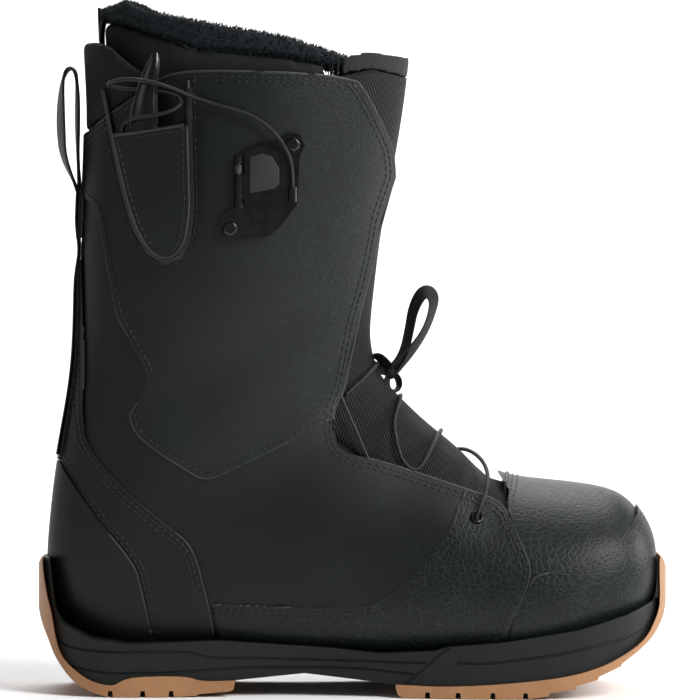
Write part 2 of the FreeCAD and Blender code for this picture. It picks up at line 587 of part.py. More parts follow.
PAD = [(-49.5, 247.5), (-37, 250), (-35, 252), (-35, 260), (-38.5, 265.5), (-43, 267.2), (-49.5, 265.5)]
pad_y = lever_y - size("lever_thick")
lever_pad = upright_prism("lever_pad", PAD, pad_y, pad_y - size("lever_pad_proud"))
subparts.append(lever_pad)

SPRING_TURNS = 4
turns = []
for number in range(SPRING_TURNS):
    coil = doc.addObject("Part::Torus", f"lever_spring_turn_{number}")
    coil.setExpression("Radius1", "sizes.pin_radius + 2 * sizes.spring_wire")
    coil.setExpression("Radius2", "sizes.spring_wire / 2")
    coil_z = BARREL_HIGH * TALL - 0.6 - number * 2 * size("spring_wire")
    coil.Placement = FreeCAD.Placement(V(knuckle_x * LONG, knuckle_y, coil_z) + shift, FreeCAD.Rotation())
    turns.append(coil)
lever_spring = doc.addObject("Part::Compound", "lever_spring")
lever_spring.Links = turns
subparts.append(lever_spring)

rivet_heads = []
for number, (rivet_x, rivet_z) in enumerate(((-59, 230.5), (-28.5, 271.5))):
    head = doc.addObject("Part::Cylinder", f"rivet_head_{number}")
    head.setExpression("Radius", "sizes.rivet_radius")
    head.setExpression("Height", "sizes.rivet_proud")
    head.Placement = FreeCAD.Placement(side(rivet_x, rivet_z, lock_face_y) + shift, FACING)
    doc.recompute()
    rounded = doc.addObject("Part::Fillet", f"rivet_rounded_{number}")
    rounded.Base = head
    top = [index for index, edge in enumerate(head.Shape.Edges, start=1)
           if edge.isClosed() and edge.BoundBox.YMax < lock_face_y + shift.y - 0.5]
    rounded.Edges = [(index, size("rivet_proud") * 0.6, size("rivet_proud") * 0.6) for index in top]
    rivet_heads.append(rounded)
rivets = doc.addObject("Part::Compound", "lock_rivets")
rivets.Links = rivet_heads
subparts.append(rivets)

# ---- webbing loops -----------------------------------------------------------------------
half_webbing = size("webbing_width") / 2
LOOP_OUTSIDE = [
    (-136.2, 251.5), (-139, 251.5), (-143, 257), (-145.6, 266), (-146.4, 290), (-146, 304), (-143.6, 310.5),
    (-140.2, 312.5), (-137, 310), (-135.9, 303), (-135.9, 270),
]
loop_face = slab(LOOP_OUTSIDE, (-half_webbing, half_webbing))
loop_hole = outline_slab(LOOP_OUTSIDE, -size("webbing_thick"), (-half_webbing, half_webbing))
subparts.append(piece("rear_pull_loop", loop_face.cut(loop_hole)))
LOOP_TAIL = [(-134, 226), (-140, 226), (-138.2, 251), (-134, 251)]
tail_skin = form(even(overlay + size("webbing_thick"))).cut(overlay_form)
subparts.append(piece("rear_loop_anchor", tail_skin.common(slab(LOOP_TAIL, (-half_webbing, half_webbing)))))

# A ribbon is knotted in front of the tongue: one bight holds the top run of the lace, one is
# sewn to the tongue, and the long one stands up as a finger loop.
KNOT = (20, 158.5)
RIBBON_OUTSIDE = [
    (22.6, 162), (24.6, 160.6), (31, 168), (38, 179.5), (42, 192), (41, 198.5), (38, 200.5),
    (34, 199), (30, 190),
    (28.5, 181), (26, 169),
]
HITCH_OUTSIDE = [
    (10.6, 163.4), (11.6, 165.7), (13.8, 166.5), (16.4, 165), (19, 161.4), (17.4, 157.4),
    (13.6, 160.2), (11.4, 161.4),
]
ANCHOR_OUTSIDE = [
    (19.4, 156.6), (18, 153.6), (19.2, 150.8), (21.2, 149.2), (23.4, 150), (24.4, 152.6), (23.8, 155.4),
    (22.4, 157),
]
half_ribbon = size("ribbon_width") / 2


def ribbon_bight(outline):
    """A closed loop of ribbon, as wide as the ribbon across the boot."""
    block = slab(outline, (-half_ribbon, half_ribbon))
    return block.cut(outline_slab(outline, -size("ribbon_thick"), (-half_ribbon, half_ribbon)))


knot = doc.addObject("Part::Sphere", "ribbon_knot")
knot.setExpression("Radius", "sizes.ribbon_width * 0.4")
knot.Placement = FreeCAD.Placement(side(*KNOT) + shift, FreeCAD.Rotation())
doc.recompute()
knot_core = knot.Shape.copy()
knot_core.translate(-shift)
subparts.append(piece("ribbon_loop", ribbon_bight(RIBBON_OUTSIDE)))
subparts.append(piece("ribbon_hitch", ribbon_bight(HITCH_OUTSIDE).cut(knot_core).cut(tongue_form)))
subparts.append(piece("ribbon_anchor", ribbon_bight(ANCHOR_OUTSIDE).cut(knot_core).cut(tongue_form)))
subparts.append(knot)

# ---- eyelets, lace and handle cord -------------------------------------------------------
eyelet_rings = []
for number, way in enumerate((-1, 1)):
    skin_y = -way * outer_skin_y(62, 88)
    slope_x = (outer_skin_y(63, 88) - outer_skin_y(61, 88)) / (2 * LONG)
    slope_z = (outer_skin_y(62, 89) - outer_skin_y(62, 87)) / (2 * TALL)
    lean = V(slope_x, way, slope_z)
    lean.normalize()
    place = FreeCAD.Placement(
        V(62 * LONG, skin_y, 88 * TALL) + lean * 0.1 + shift, FreeCAD.Rotation(V(0, 0, 1), lean))
    disc = doc.addObject("Part::Cylinder", f"eyelet_disc_{number}")
    disc.setExpression("Radius", "sizes.eyelet_radius")
    disc.setExpression("Height", "sizes.eyelet_thick")
    disc.Placement = place
    bore = doc.addObject("Part::Cylinder", f"eyelet_hole_{number}")
    bore.setExpression("Radius", "sizes.eyelet_bore")
    bore.setExpression("Height", "sizes.eyelet_thick")
    bore.Placement = place
    eyelet_rings.append(boolean("Cut", f"eyelet_ring_{number}", disc, bore))
eyelets = doc.addObject("Part::Compound", "eyelets")
eyelets.Links = eyelet_rings
subparts.append(eyelets)


def route_tube(label, route, diameter):
    """A cord along straight runs joined by tangent arcs, each as large as its two runs allow."""
    points = [V(*point) for point in route]
    edges = []
    radii = []
    start = points[0]
    for before, corner, after in zip(points, points[1:], points[2:]):
        back = before - corner
        ahead = after - corner
        bend = math.pi - back.getAngle(ahead)
        reach = 0.45 * min(back.Length, ahead.Length)
        radii.append(reach / math.tan(bend / 2))
        back.normalize()
        ahead.normalize()
        enter = corner + back * reach
        leave = corner + ahead * reach
        inward = back + ahead
        inward.normalize()
        nearest = radii[-1] / math.cos(bend / 2) - radii[-1]
        edges.append(Part.LineSegment(start, enter).toShape())
        edges.append(Part.Arc(enter, corner + inward * nearest, leave).toShape())
        start = leave
    edges.append(Part.LineSegment(start, points[-1]).toShape())
    path = Part.Wire(edges)
    direction = points[1] - points[0]
    profile = Part.Wire([Part.Circle(points[0], direction, diameter / 2).toShape()])
    tube = path.makePipeShell([profile], True, False)
    print(label, "radii", [round(radius, 1) for radius in radii], "length", round(path.Length, 1),
          "volume share", round(tube.Volume / (math.pi * diameter ** 2 / 4 * path.Length), 3))
    item = doc.addObject("Part::Feature", label)
    item.Shape = tube
    item.Placement = FreeCAD.Placement(shift, FreeCAD.Rotation())
    return item


# The lace crosses the tongue four times and turns back under the edge of each flap.
LACE = [
    (62.1, -41.8, 88.9), (63.2, -42.4, 93.0), (66.8, -37.6, 100.4), (68.2, -28.4, 107.6),
    (66.4, -17.2, 114.2),
    (61.8, -5.6, 118.6), (56.4, 7.4, 120.4), (50.2, 17.6, 118.8), (44.4, 24.8, 113.8),
    (41.3, 27.4, 108.0),
    (40.0, 25.6, 115.2), (42.8, 18.6, 122.8), (45.4, 7.2, 129.2), (45.0, -5.2, 130.2), (41.8, -16.6, 125.2),
    (37.8, -24.2, 117.4), (32.6, -28.4, 109.5),
    (25.7, -28.0, 114.4), (22.4, -25.0, 124.8), (21.0, -19.2, 135.2), (24.8, -8.6, 146.2),
    (25.2, 5.4, 148.0),
    (18.8, 17.6, 140.2), (13.2, 23.2, 130.8),
    (6.4, 24.2, 134.8), (3.6, 21.0, 145.4), (7.4, 15.2, 156.0), (13.8, 5.2, 163.8), (13.2, -7.2, 162.8),
    (5.8, -16.4, 155.4), (-2.4, -21.4, 148.2),
]
lace = route_tube("lace", LACE, size("lace_width"))
subparts.append(lace)

handle_cord = route_tube("handle_cord", HANDLE_CORD, size("lace_width"))
subparts.append(handle_cord)

back_loop_skin = form(lambda index: tuple(value + 1.2 for value in liner_outside(index))).cut(liner_form)
subparts.append(piece("liner_back_loop", back_loop_skin.common(slab(
    [(-140, 324.5), (-140, 341), (-118, 341), (-118, 324.5)], (-half_ribbon, half_ribbon)))))

doc.recompute()
os.makedirs("parts", exist_ok=True)
faults = [item.Label for item in doc.Objects if "Invalid" in item.State or "Error" in item.State]
for item in subparts:
    if item.Shape.isNull() or not item.Shape.isValid() or not item.Shape.Solids:
        faults.append(item.Label)
print("faults:", faults)
for item in subparts:
    print(item.Label, len(item.Shape.Solids), round(item.Shape.Volume / 1000, 2), item.Shape.isValid())
    item.Shape.exportStep(f"parts/{item.Label}.step")
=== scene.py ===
import math

import bmesh
import bpy
import numpy as np
from mathutils import Matrix, Vector
from mathutils.bvhtree import BVHTree
from mathutils.kdtree import KDTree


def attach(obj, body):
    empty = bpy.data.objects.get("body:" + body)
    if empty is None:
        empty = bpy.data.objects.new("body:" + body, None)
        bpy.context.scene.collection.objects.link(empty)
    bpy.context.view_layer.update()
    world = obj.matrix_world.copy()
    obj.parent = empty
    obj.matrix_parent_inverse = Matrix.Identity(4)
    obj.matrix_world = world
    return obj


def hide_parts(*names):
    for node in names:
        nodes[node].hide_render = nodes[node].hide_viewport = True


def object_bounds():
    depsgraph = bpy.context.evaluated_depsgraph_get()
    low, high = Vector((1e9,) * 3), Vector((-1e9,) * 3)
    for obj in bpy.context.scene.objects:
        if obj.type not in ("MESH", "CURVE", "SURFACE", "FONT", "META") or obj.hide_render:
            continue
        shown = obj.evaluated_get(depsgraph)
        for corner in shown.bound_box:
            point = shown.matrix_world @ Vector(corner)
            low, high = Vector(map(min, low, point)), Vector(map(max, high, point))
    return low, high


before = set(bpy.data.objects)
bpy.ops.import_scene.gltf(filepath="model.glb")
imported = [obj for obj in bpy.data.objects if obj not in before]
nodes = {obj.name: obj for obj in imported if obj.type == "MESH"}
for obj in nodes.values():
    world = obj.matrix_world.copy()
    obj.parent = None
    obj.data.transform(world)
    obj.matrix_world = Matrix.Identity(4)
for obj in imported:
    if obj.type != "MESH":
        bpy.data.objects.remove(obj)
cad_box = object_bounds()
MM = 0.001
bpy.ops.object.select_all(action="DESELECT")

# ---- camera ---------------------------------------------------------------------
# A long lens, level with the boot's middle and square to its outer side.
low, high = cad_box
boot_middle = Vector(((low[0] + high[0]) / 2 - 0.001, 0.0, 0.170))
CAMERA_DISTANCE = 2.4
CAMERA_RISE = 0.05
FRAME_WIDTH = 0.350
bpy.ops.object.camera_add(
    location=boot_middle + Vector((0, -CAMERA_DISTANCE, CAMERA_RISE)),
    rotation=(math.pi / 2 - math.atan(CAMERA_RISE / CAMERA_DISTANCE), 0, 0))
camera = bpy.context.object
camera.name = "camera"
camera.data.sensor_width = 36
camera.data.lens = 36 * CAMERA_DISTANCE / FRAME_WIDTH
camera.data.clip_end = 20
bpy.context.scene.camera = camera

# ---- handle cord -----------------------------------------------------------------
# A 2 mm braided polyester cord from the lace lock. It goes round the pull handle and
# down into the handle's pocket. It is limp, and stands a little off the leather.
BOX_SHIFT = 4.8
HANDLE_CORD = [
    (-28.5, -60.5, 250.5), (-28.5, -60.5, 258.0), (-30.0, -61.2, 266.0), (-34.5, -61.8, 274.0),
    (-41.0, -62.2, 281.0), (-49.0, -62.2, 286.0), (-58.5, -61.8, 289.0), (-68.0, -60.6, 291.5),
    (-77.0, -60.0, 294.5), (-85.0, -61.2, 298.0), (-93.2, -62.4, 301.0), (-102.2, -60.8, 303.0),
    (-110.5, -56.6, 303.6), (-117.8, -50.5, 302.6), (-120.0, -44.0, 300.8), (-114.5, -41.4, 299.6),
    (-106.5, -44.8, 298.8), (-98.6, -49.1, 298.0), (-90.5, -53.0, 297.0), (-83.5, -57.4, 294.6),
    (-82.5, -62.6, 290.6), (-88.8, -65.0, 287.0), (-97.2, -63.4, 285.4), (-105.4, -59.0, 284.4),
    (-111.2, -53.2, 282.2), (-112.2, -48.4, 276.4), (-111.0, -47.0, 269.0), (-110.0, -48.0, 262.0),
]
CORD_DIAMETER = 2.0


def linear(code):
    """An sRGB hex colour as linear red, green, blue and alpha."""
    parts = [int(code[place:place + 2], 16) / 255 for place in (1, 3, 5)]
    return [part / 12.92 if part <= 0.04045 else ((part + 0.055) / 1.055) ** 2.4 for part in parts] + [1]


def add(tree, kind, inputs=None, **settings):
    """A node with its settings; inputs are values or the sockets that feed it."""
    made = tree.nodes.new(kind)
    for key, value in settings.items():
        setattr(made, key, value)
    for socket, value in (inputs or {}).items():
        if isinstance(value, bpy.types.NodeSocket):
            tree.links.new(value, made.inputs[socket])
        else:
            made.inputs[socket].default_value = value
    return made


def new_material(name):
    """A material with its tree, its shader and its Object coordinates."""
    material = bpy.data.materials.new(name)
    material.use_nodes = True
    tree = material.node_tree
    shader = tree.nodes["Principled BSDF"]
    place = add(tree, "ShaderNodeTexCoord").outputs["Object"]
    return material, tree, shader, place


def paint(piece, material):
    """One material all over a piece."""
    piece.data.materials.clear()
    piece.data.materials.append(material)
    return piece


def smooth_line(name, points, thickness):
    """A round cord on one smooth curve through a listed route, in millimetres."""
    curve = bpy.data.curves.new(name, "CURVE")
    curve.dimensions = "3D"
    spline = curve.splines.new("NURBS")
    spline.points.add(len(points) - 1)
    for point, (x, y, z) in zip(spline.points, points):
        point.co = (x * MM, (y + BOX_SHIFT) * MM, z * MM, 1)
    spline.order_u = 3
    spline.use_endpoint_u = True
    curve.resolution_u = 12
    curve.bevel_depth = thickness / 2 * MM
    curve.bevel_resolution = 4
    curve.use_fill_caps = True
    piece = bpy.data.objects.new(name, curve)
    bpy.context.scene.collection.objects.link(piece)
    return piece


# Braided polyester with a wax coat: dull, and with a fine diamond relief 0.8 mm apart; painted shade darkens
# the braid away from each strand's middle.
braid, tree, shader, place = new_material("braided_polyester")
BRAID_PITCH = 0.8
strands = add(tree, "ShaderNodeTexVoronoi", {
    "Vector": place, "Scale": 1 / (BRAID_PITCH * MM), "Randomness": 0.35})
relief = add(tree, "ShaderNodeBump", {
    "Height": strands.outputs["Distance"], "Strength": 0.9, "Distance": 0.25 * MM}, invert=True)
# Painted shade: darker between the strands, lighter on their crowns.
tint = add(tree, "ShaderNodeMixRGB", {
    "Fac": strands.outputs["Distance"], "Color1": linear("#17191a"), "Color2": linear("#050606")})
tree.links.new(tint.outputs["Color"], shader.inputs["Base Color"])
tree.links.new(relief.outputs["Normal"], shader.inputs["Normal"])
shader.inputs["Roughness"].default_value = 0.55
shader.inputs["Specular IOR Level"].default_value = 0.35

handle_cord = smooth_line("handle_cord_braid", HANDLE_CORD, CORD_DIAMETER)
paint(handle_cord, braid)
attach(handle_cord, "root")
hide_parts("handle_cord")

# ---- floor and studio light -------------------------------------------------------
# A white sweep: a floor that bends up into a wall. A large soft lamp at the toe's side, a
# weak one at the heel's, one that washes the wall, and a low one behind the toe.
bpy.ops.mesh.primitive_plane_add(size=1)
sweep = bpy.context.object
sweep.name = "sweep"
bpy.ops.object.mode_set(mode="EDIT")
bpy.ops.transform.resize(value=(8, 6, 1))
bpy.ops.transform.translate(value=(0, -0.8, -0.0002))
bpy.ops.mesh.select_all(action="DESELECT")
shape = bmesh.from_edit_mesh(sweep.data)
for edge in shape.edges:
    edge.select_set(all(vertex.co.y > 2 for vertex in edge.verts))
bmesh.update_edit_mesh(sweep.data)
bpy.ops.mesh.extrude_region_move(TRANSFORM_OT_translate={"value": (0, 0, 4)})
bpy.ops.mesh.select_all(action="DESELECT")
shape = bmesh.from_edit_mesh(sweep.data)
for edge in shape.edges:
    edge.select_set(all(vertex.co.y > 2 and vertex.co.z < 1 for vertex in edge.verts))
bmesh.update_edit_mesh(sweep.data)
bpy.ops.mesh.bevel(offset=1.0, segments=12, affect="EDGES")
bpy.ops.object.mode_set(mode="OBJECT")
bpy.ops.object.shade_smooth()
paper, tree, shader, place = new_material("white_paper")
fleck = add(tree, "ShaderNodeTexNoise", {"Vector": place, "Scale": 300.0})
tint = add(tree, "ShaderNodeMixRGB", {
    "Fac": fleck.outputs["Fac"], "Color1": linear("#f6f6f6"), "Color2": linear("#fbfbfb")})
tree.links.new(tint.outputs["Color"], shader.inputs["Base Color"])
shader.inputs["Roughness"].default_value = 0.9
shader.inputs["Specular IOR Level"].default_value = 0.1
paint(sweep, paper)

LAMPS = [
    ("key_lamp", (1.5, -1.5, 1.5), 1.2, 62),
    ("heel_lamp", (-1.9, -0.9, 1.0), 1.0, 3),
    ("wall_lamp", (0.0, 1.1, 2.4), 2.0, 78),
    ("toe_strip", (1.5, 0.25, 0.6), 0.7, 14),
]
for name, spot, width, power in LAMPS:
    bpy.ops.object.light_add(type="AREA", location=spot)
    lamp = bpy.context.object
    lamp.name = name
    lamp.data.size = width
    lamp.data.energy = power
    target = Vector((0, 1.8, 0.4)) if name == "wall_lamp" else boot_middle
    lamp.rotation_euler = (target - lamp.location).to_track_quat("-Z", "Y").to_euler()
world = bpy.data.worlds.new("studio")
world.use_nodes = True
tree = world.node_tree
backdrop = tree.nodes["Background"]
backdrop.inputs["Color"].default_value = linear("#ffffff")
backdrop.inputs["Strength"].default_value = 0.09
bpy.context.scene.world = world
bpy.context.scene.view_settings.view_transform = "Standard"

# ---- leather upper -----------------------------------------------------------------
# Polyurethane-coated synthetic leather, cut in panels and sewn over each other: quarters and
# vamp underneath, cuff, heel, forefoot and toe panels on top.
QUARTERS = ["quarter_outer", "quarter_inner"]
PEBBLED = [
    "vamp", "cuff_panel_outer", "cuff_panel_inner", "toe_cap", "forefoot_panel_outer", "forefoot_panel_inner",
]
PLAIN = ["heel_strap_outer", "heel_strap_inner", "heel_counter", "backstay"]


def leather(name, dark, light, net_highlight, cell, depth, roughness):
    """Embossed leather: cells with a paler net of creases that is a painted highlight, strongest towards the
    toe where the key lamp falls and plainest on the heel side.
    """
    material, tree, shader, place = new_material(name)
    wander = add(tree, "ShaderNodeTexNoise", {"Vector": place, "Scale": 1 / (cell * 2.5 * MM), "Detail": 2.0})
    bent = add(tree, "ShaderNodeMixRGB", {
        "Fac": 0.0012, "Color1": place, "Color2": wander.outputs["Color"]}, blend_type="ADD")
    cells = add(tree, "ShaderNodeTexVoronoi", {"Vector": bent.outputs["Color"], "Scale": 1 / (cell * MM)},
                feature="DISTANCE_TO_EDGE")
    dome = add(tree, "ShaderNodeMapRange", {"Value": cells.outputs["Distance"], "From Max": 0.16},
               interpolation_type="SMOOTHSTEP")
    # Painted highlight: the net's paler colour follows this crease mask.
    crease_highlight_mask = add(tree, "ShaderNodeMapRange", {
        "Value": cells.outputs["Distance"], "From Max": 0.09, "To Min": 1.0, "To Max": 0.0},
        interpolation_type="SMOOTHSTEP")
    patch = add(tree, "ShaderNodeTexNoise", {"Vector": place, "Scale": 1 / (30 * MM), "Detail": 2.0})
    split = add(tree, "ShaderNodeSeparateXYZ", {"Vector": place})
    # The net's painted highlight, and the relief with it, fade from the toe, where the key lamp falls, to the
    # heel side.
    toward_key_lamp = add(tree, "ShaderNodeMapRange", {
        "Value": split.outputs["X"], "From Min": -0.09, "From Max": 0.04, "To Min": 0.06, "To Max": 1.0},
        interpolation_type="SMOOTHSTEP")
    strength = add(tree, "ShaderNodeMath", {0: patch.outputs["Fac"], 1: toward_key_lamp.outputs["Result"]},
                   operation="MULTIPLY")
    shown = add(tree, "ShaderNodeMath", {0: crease_highlight_mask.outputs["Result"], 1: strength.outputs["Value"]},
                operation="MULTIPLY")
    fold = add(tree, "ShaderNodeMath", {0: dome.outputs["Result"], 1: strength.outputs["Value"]},
               operation="MULTIPLY")
    wrinkle = add(tree, "ShaderNodeTexNoise", {"Vector": place, "Scale": 1 / (0.6 * MM), "Detail": 3.0})
    whole = add(tree, "ShaderNodeMath", {0: wrinkle.outputs["Fac"], 1: 0.25, 2: fold.outputs["Value"]},
                operation="MULTIPLY_ADD")
    relief = add(tree, "ShaderNodeBump", {
        "Height": whole.outputs["Value"], "Strength": 1.0, "Distance": depth * MM})
    ground = add(tree, "ShaderNodeMixRGB", {
        "Fac": patch.outputs["Fac"], "Color1": linear(dark), "Color2": linear(light)})
    # The paler net colour mixed in here is a painted highlight on the creases.
    tint = add(tree, "ShaderNodeMixRGB", {
        "Fac": shown.outputs["Value"], "Color1": ground.outputs["Color"], "Color2": linear(net_highlight)})
    tree.links.new(tint.outputs["Color"], shader.inputs["Base Color"])
    tree.links.new(relief.outputs["Normal"], shader.inputs["Normal"])
    shader.inputs["Roughness"].default_value = roughness
    shader.inputs["Specular IOR Level"].default_value = 0.26
    return material


# Each leather's third colour is the painted highlight of its crease net.
pebbled_leather = leather("pebbled_synthetic_leather", "#0a0d0d", "#161b1b", "#2b3132", 2.9, 0.12, 0.42)
smooth_leather = leather("smooth_synthetic_leather", "#070909", "#121717", "#1d2223", 1.4, 0.04, 0.48)
for name in QUARTERS + PLAIN:
    paint(nodes[name], smooth_leather)
for name in PEBBLED:
    paint(nodes[name], pebbled_leather)

# ---- rolled edges and seams ----------------------------------------------------------
# The panels' cut edges are skived and rolled, and sewn down with two rows of bonded
# polyester thread, 3 mm stitches, or with one row round the cuff.
FLAP_EDGE = [
    (3.5, 302.5), (8.5, 295.5), (15, 283), (21, 270), (22.5, 256), (19, 247), (15, 235), (12, 217.5),
    (8.5, 202.5), (3, 183.5), (0, 168), (-3, 152), (-7.5, 141), (-8.5, 131), (-6.5, 123),
    (-1.5, 119.5), (18.5, 114.5), (41.5, 107), (56, 102), (67, 98.5), (74, 95), (77, 91),
]
VAMP_SEAM = [(77, 91), (84, 75), (88.5, 64), (86, 52.5), (79.5, 40.5), (74, 29)]
TOP_EDGE = [
    (-133, 277.5), (-116.5, 289), (-109.5, 293), (-97, 302), (-90, 305.5), (-81, 307), (-65, 307.5),
    (-30, 306.5), (-8, 305), (3.5, 302.5),
]
CUFF_EDGE = [
    (-134.5, 247.5), (-126.5, 241.5), (-124, 231), (-121, 215.5), (-117, 195), (-115.5, 187),
    (-105.5, 170), (-99, 158.5), (-100.5, 152), (-110, 138.5), (-106.5, 129.5), (-95.5, 120.5),
    (-74, 107), (-69, 107), (-42, 119.5), (-15.5, 133), (-8.5, 136.5),
]
STRAP_EDGE = [
    (-133.5, 182), (-133, 165), (-133.5, 140.5), (-132, 127), (-126.5, 117),
    (-112.5, 101.5), (-92.5, 85), (-81, 76.5), (-76.5, 68), (-70.5, 45), (-68, 30),
]
COUNTER_EDGE = [(-146, 114.5), (-138.5, 104), (-126, 87), (-113.5, 72.5), (-106, 62), (-102, 45), (-99, 30)]
FOREFOOT_EDGE = [
    (57, 101.5), (47, 80.5), (36.5, 67), (27, 56.5), (19, 49.8), (11, 45.5), (1, 43.6), (-20, 43.4),
    (-68, 45),
]
TOE_EDGE = [
    (80, 40.5), (86.5, 52.5), (89.5, 60), (101.5, 62), (117.5, 68.5), (130.5, 74), (139, 82), (143, 90),
]

shell = bmesh.new()
for name in QUARTERS + PEBBLED + PLAIN:
    shell.from_mesh(nodes[name].data)
leather_surface = BVHTree.FromBMesh(shell)
shell.free()


def side_line(points, inset=0.0, step=1.2):
    """A side-view line, moved sideways by inset, as even steps with its corners eased."""
    corners = np.array(points, float)
    lengths = np.linalg.norm(np.diff(corners, axis=0), axis=1)
    reach = np.concatenate([[0], np.cumsum(lengths)])
    count = max(4, int(reach[-1] / step))
    along = np.linspace(0, reach[-1], count)
    line = np.stack([np.interp(along, reach, corners[:, axis]) for axis in (0, 1)], axis=1)
    for _ in range(12):
        line[1:-1] = (line[:-2] + 2 * line[1:-1] + line[2:]) / 4
    heading = np.gradient(line, axis=0)
    heading /= np.linalg.norm(heading, axis=1)[:, None]
    return line + inset * np.stack([heading[:, 1], -heading[:, 0]], axis=1)


def lay(line, way, lift, surface):
    """A side-view line laid on one side of a surface; way is -1 outside and 1 inside."""
    laid = []
    for x, z in line:
        start = Vector((x * MM, way * 0.12 + BOX_SHIFT * MM, z * MM))
        hit, normal, _, _ = surface.ray_cast(start, Vector((0, -way, 0)), 0.12)
        if hit is not None:
            outwards = normal if normal.y * way > 0 else -normal
            laid.append(hit + outwards * lift * MM)
    return laid


def on_leather(line, way, lift):
    """A side-view line laid on the leather upper."""
    return lay(line, way, lift, leather_surface)


def line_curve(name, points):
    """A curve object of straight steps through points in metres."""
    curve = bpy.data.curves.new(name, "CURVE")
    curve.dimensions = "3D"
    spline = curve.splines.new("POLY")
    spline.points.add(len(points) - 1)
    for point, spot in zip(spline.points, points):
        point.co = (*spot, 1)
    piece = bpy.data.objects.new(name, curve)
    bpy.context.scene.collection.objects.link(piece)
    return piece


def activate(piece):
    """Makes a piece the only selected and active one."""
    bpy.ops.object.select_all(action="DESELECT")
    piece.select_set(True)
    bpy.context.view_layer.objects.active = piece
    return piece


def join(name, pieces):
    """Several pieces as one."""
    bpy.ops.object.select_all(action="DESELECT")
    for piece in pieces:
        piece.select_set(True)
    bpy.context.view_layer.objects.active = pieces[0]
    if len(pieces) > 1:
        bpy.ops.object.join()
    pieces[0].name = name
    return pieces[0]


def bead(name, points, thickness):
    """A rolled edge or a piping: a thin round tube along points on the leather."""
    piece = line_curve(name, points)
    piece.data.bevel_depth = thickness / 2 * MM
    piece.data.bevel_resolution = 2
    piece.data.use_fill_caps = True
    activate(piece)
    bpy.ops.object.convert(target="MESH")
    bpy.ops.object.shade_smooth()
    return bpy.context.object


STITCH_LONG = 3.0
STITCH_PITCH = 3.7
THREAD = 0.75


def stitch_row(points):
    """Lock stitches, one after another, along points on the leather."""
    path = line_curve("stitch_path", points)
    bpy.ops.mesh.primitive_uv_sphere_add(segments=6, ring_count=5, radius=1, rotation=(0, math.pi / 2, 0))
    row = bpy.context.object
    row.data.transform(row.matrix_world)
    row.matrix_world.identity()
    bpy.ops.object.mode_set(mode="EDIT")
    bpy.ops.mesh.select_all(action="SELECT")
    bpy.ops.transform.resize(value=(STITCH_LONG / 2 * MM, THREAD / 2 * MM, THREAD / 2 * MM))
    bpy.ops.object.mode_set(mode="OBJECT")
    bpy.ops.object.shade_smooth()
    array = row.modifiers.new("repeat", "ARRAY")
    array.fit_type = "FIT_CURVE"
    array.curve = path
    array.use_relative_offset = False
    array.use_constant_offset = True
    array.constant_offset_displace = (STITCH_PITCH * MM, 0, 0)
    follow = row.modifiers.new("follow", "CURVE")
    follow.object = path
    follow.deform_axis = "POS_X"
    activate(row)
    bpy.ops.object.modifier_apply(modifier="repeat")
    bpy.ops.object.modifier_apply(modifier="follow")
    bpy.data.objects.remove(path)
    return row


# Bonded polyester thread: black, hard and a little shiny, with a twist too fine to see.
thread, tree, shader, place = new_material("bonded_polyester_thread")
twist = add(tree, "ShaderNodeTexNoise", {"Vector": place, "Scale": 1 / (0.3 * MM)})
tint = add(tree, "ShaderNodeMixRGB", {
    "Fac": twist.outputs["Fac"], "Color1": linear("#040404"), "Color2": linear("#101112")})
tree.links.new(tint.outputs["Color"], shader.inputs["Base Color"])
shader.inputs["Roughness"].default_value = 0.42

# The rolled edge is the leather's own coat stretched thin, so it is smoother; it is lighter partly from its
# greyish coat and partly from a painted highlight along the edge.
edge_coat_and_highlight, tree, shader, place = new_material("rolled_leather_edge")
wear_and_glint = add(tree, "ShaderNodeTexNoise", {"Vector": place, "Scale": 1 / (4 * MM), "Detail": 4.0})
# The lighter colour here is partly the coat's own grey and partly painted highlight.
tint = add(tree, "ShaderNodeMixRGB", {
    "Fac": wear_and_glint.outputs["Fac"], "Color1": linear("#0c0e0e"), "Color2": linear("#2b2f30")})
relief = add(tree, "ShaderNodeBump", {"Height": wear_and_glint.outputs["Fac"], "Strength": 0.4, "Distance": 0.2 * MM})
tree.links.new(tint.outputs["Color"], shader.inputs["Base Color"])
tree.links.new(relief.outputs["Normal"], shader.inputs["Normal"])
shader.inputs["Roughness"].default_value = 0.5

# Each seam: its edge, how far beside it each row of stitches lies, and the bead's thickness.
SEAMS = {
    "flap": (FLAP_EDGE, (2.4, 4.6), 1.4),
    "top": (TOP_EDGE, (2.4, 4.6), 1.4),
    "cuff": (CUFF_EDGE, (-2.4,), 1.0),
    "strap": (STRAP_EDGE, (2.2, 4.4), 1.0),
    "counter": (COUNTER_EDGE, (-2.0, -4.0), 1.0),
    "forefoot": (FOREFOOT_EDGE, (-2.2, -4.4), 1.1),
    "toe": (TOE_EDGE, (2.2, 4.4), 1.1),
    "vamp": (VAMP_SEAM, (2.2, 4.4), 0.9),
}
for way, side_name in ((-1, "outer"), (1, "inner")):
    beads = []
    rows = []
    for name, (edge, insets, thickness) in SEAMS.items():
        edge_points = on_leather(side_line(edge), way, -0.35 * thickness)
        beads.append(bead("edge_" + name, edge_points, thickness))
        for inset in insets:
            rows.append(stitch_row(on_leather(side_line(edge, inset), way, 0.12)))
    edges = paint(join("rolled_edges_" + side_name, beads), edge_coat_and_highlight)
    seams = paint(join("stitching_" + side_name, rows), thread)
    for piece in (edges, seams):
        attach(piece, "root")

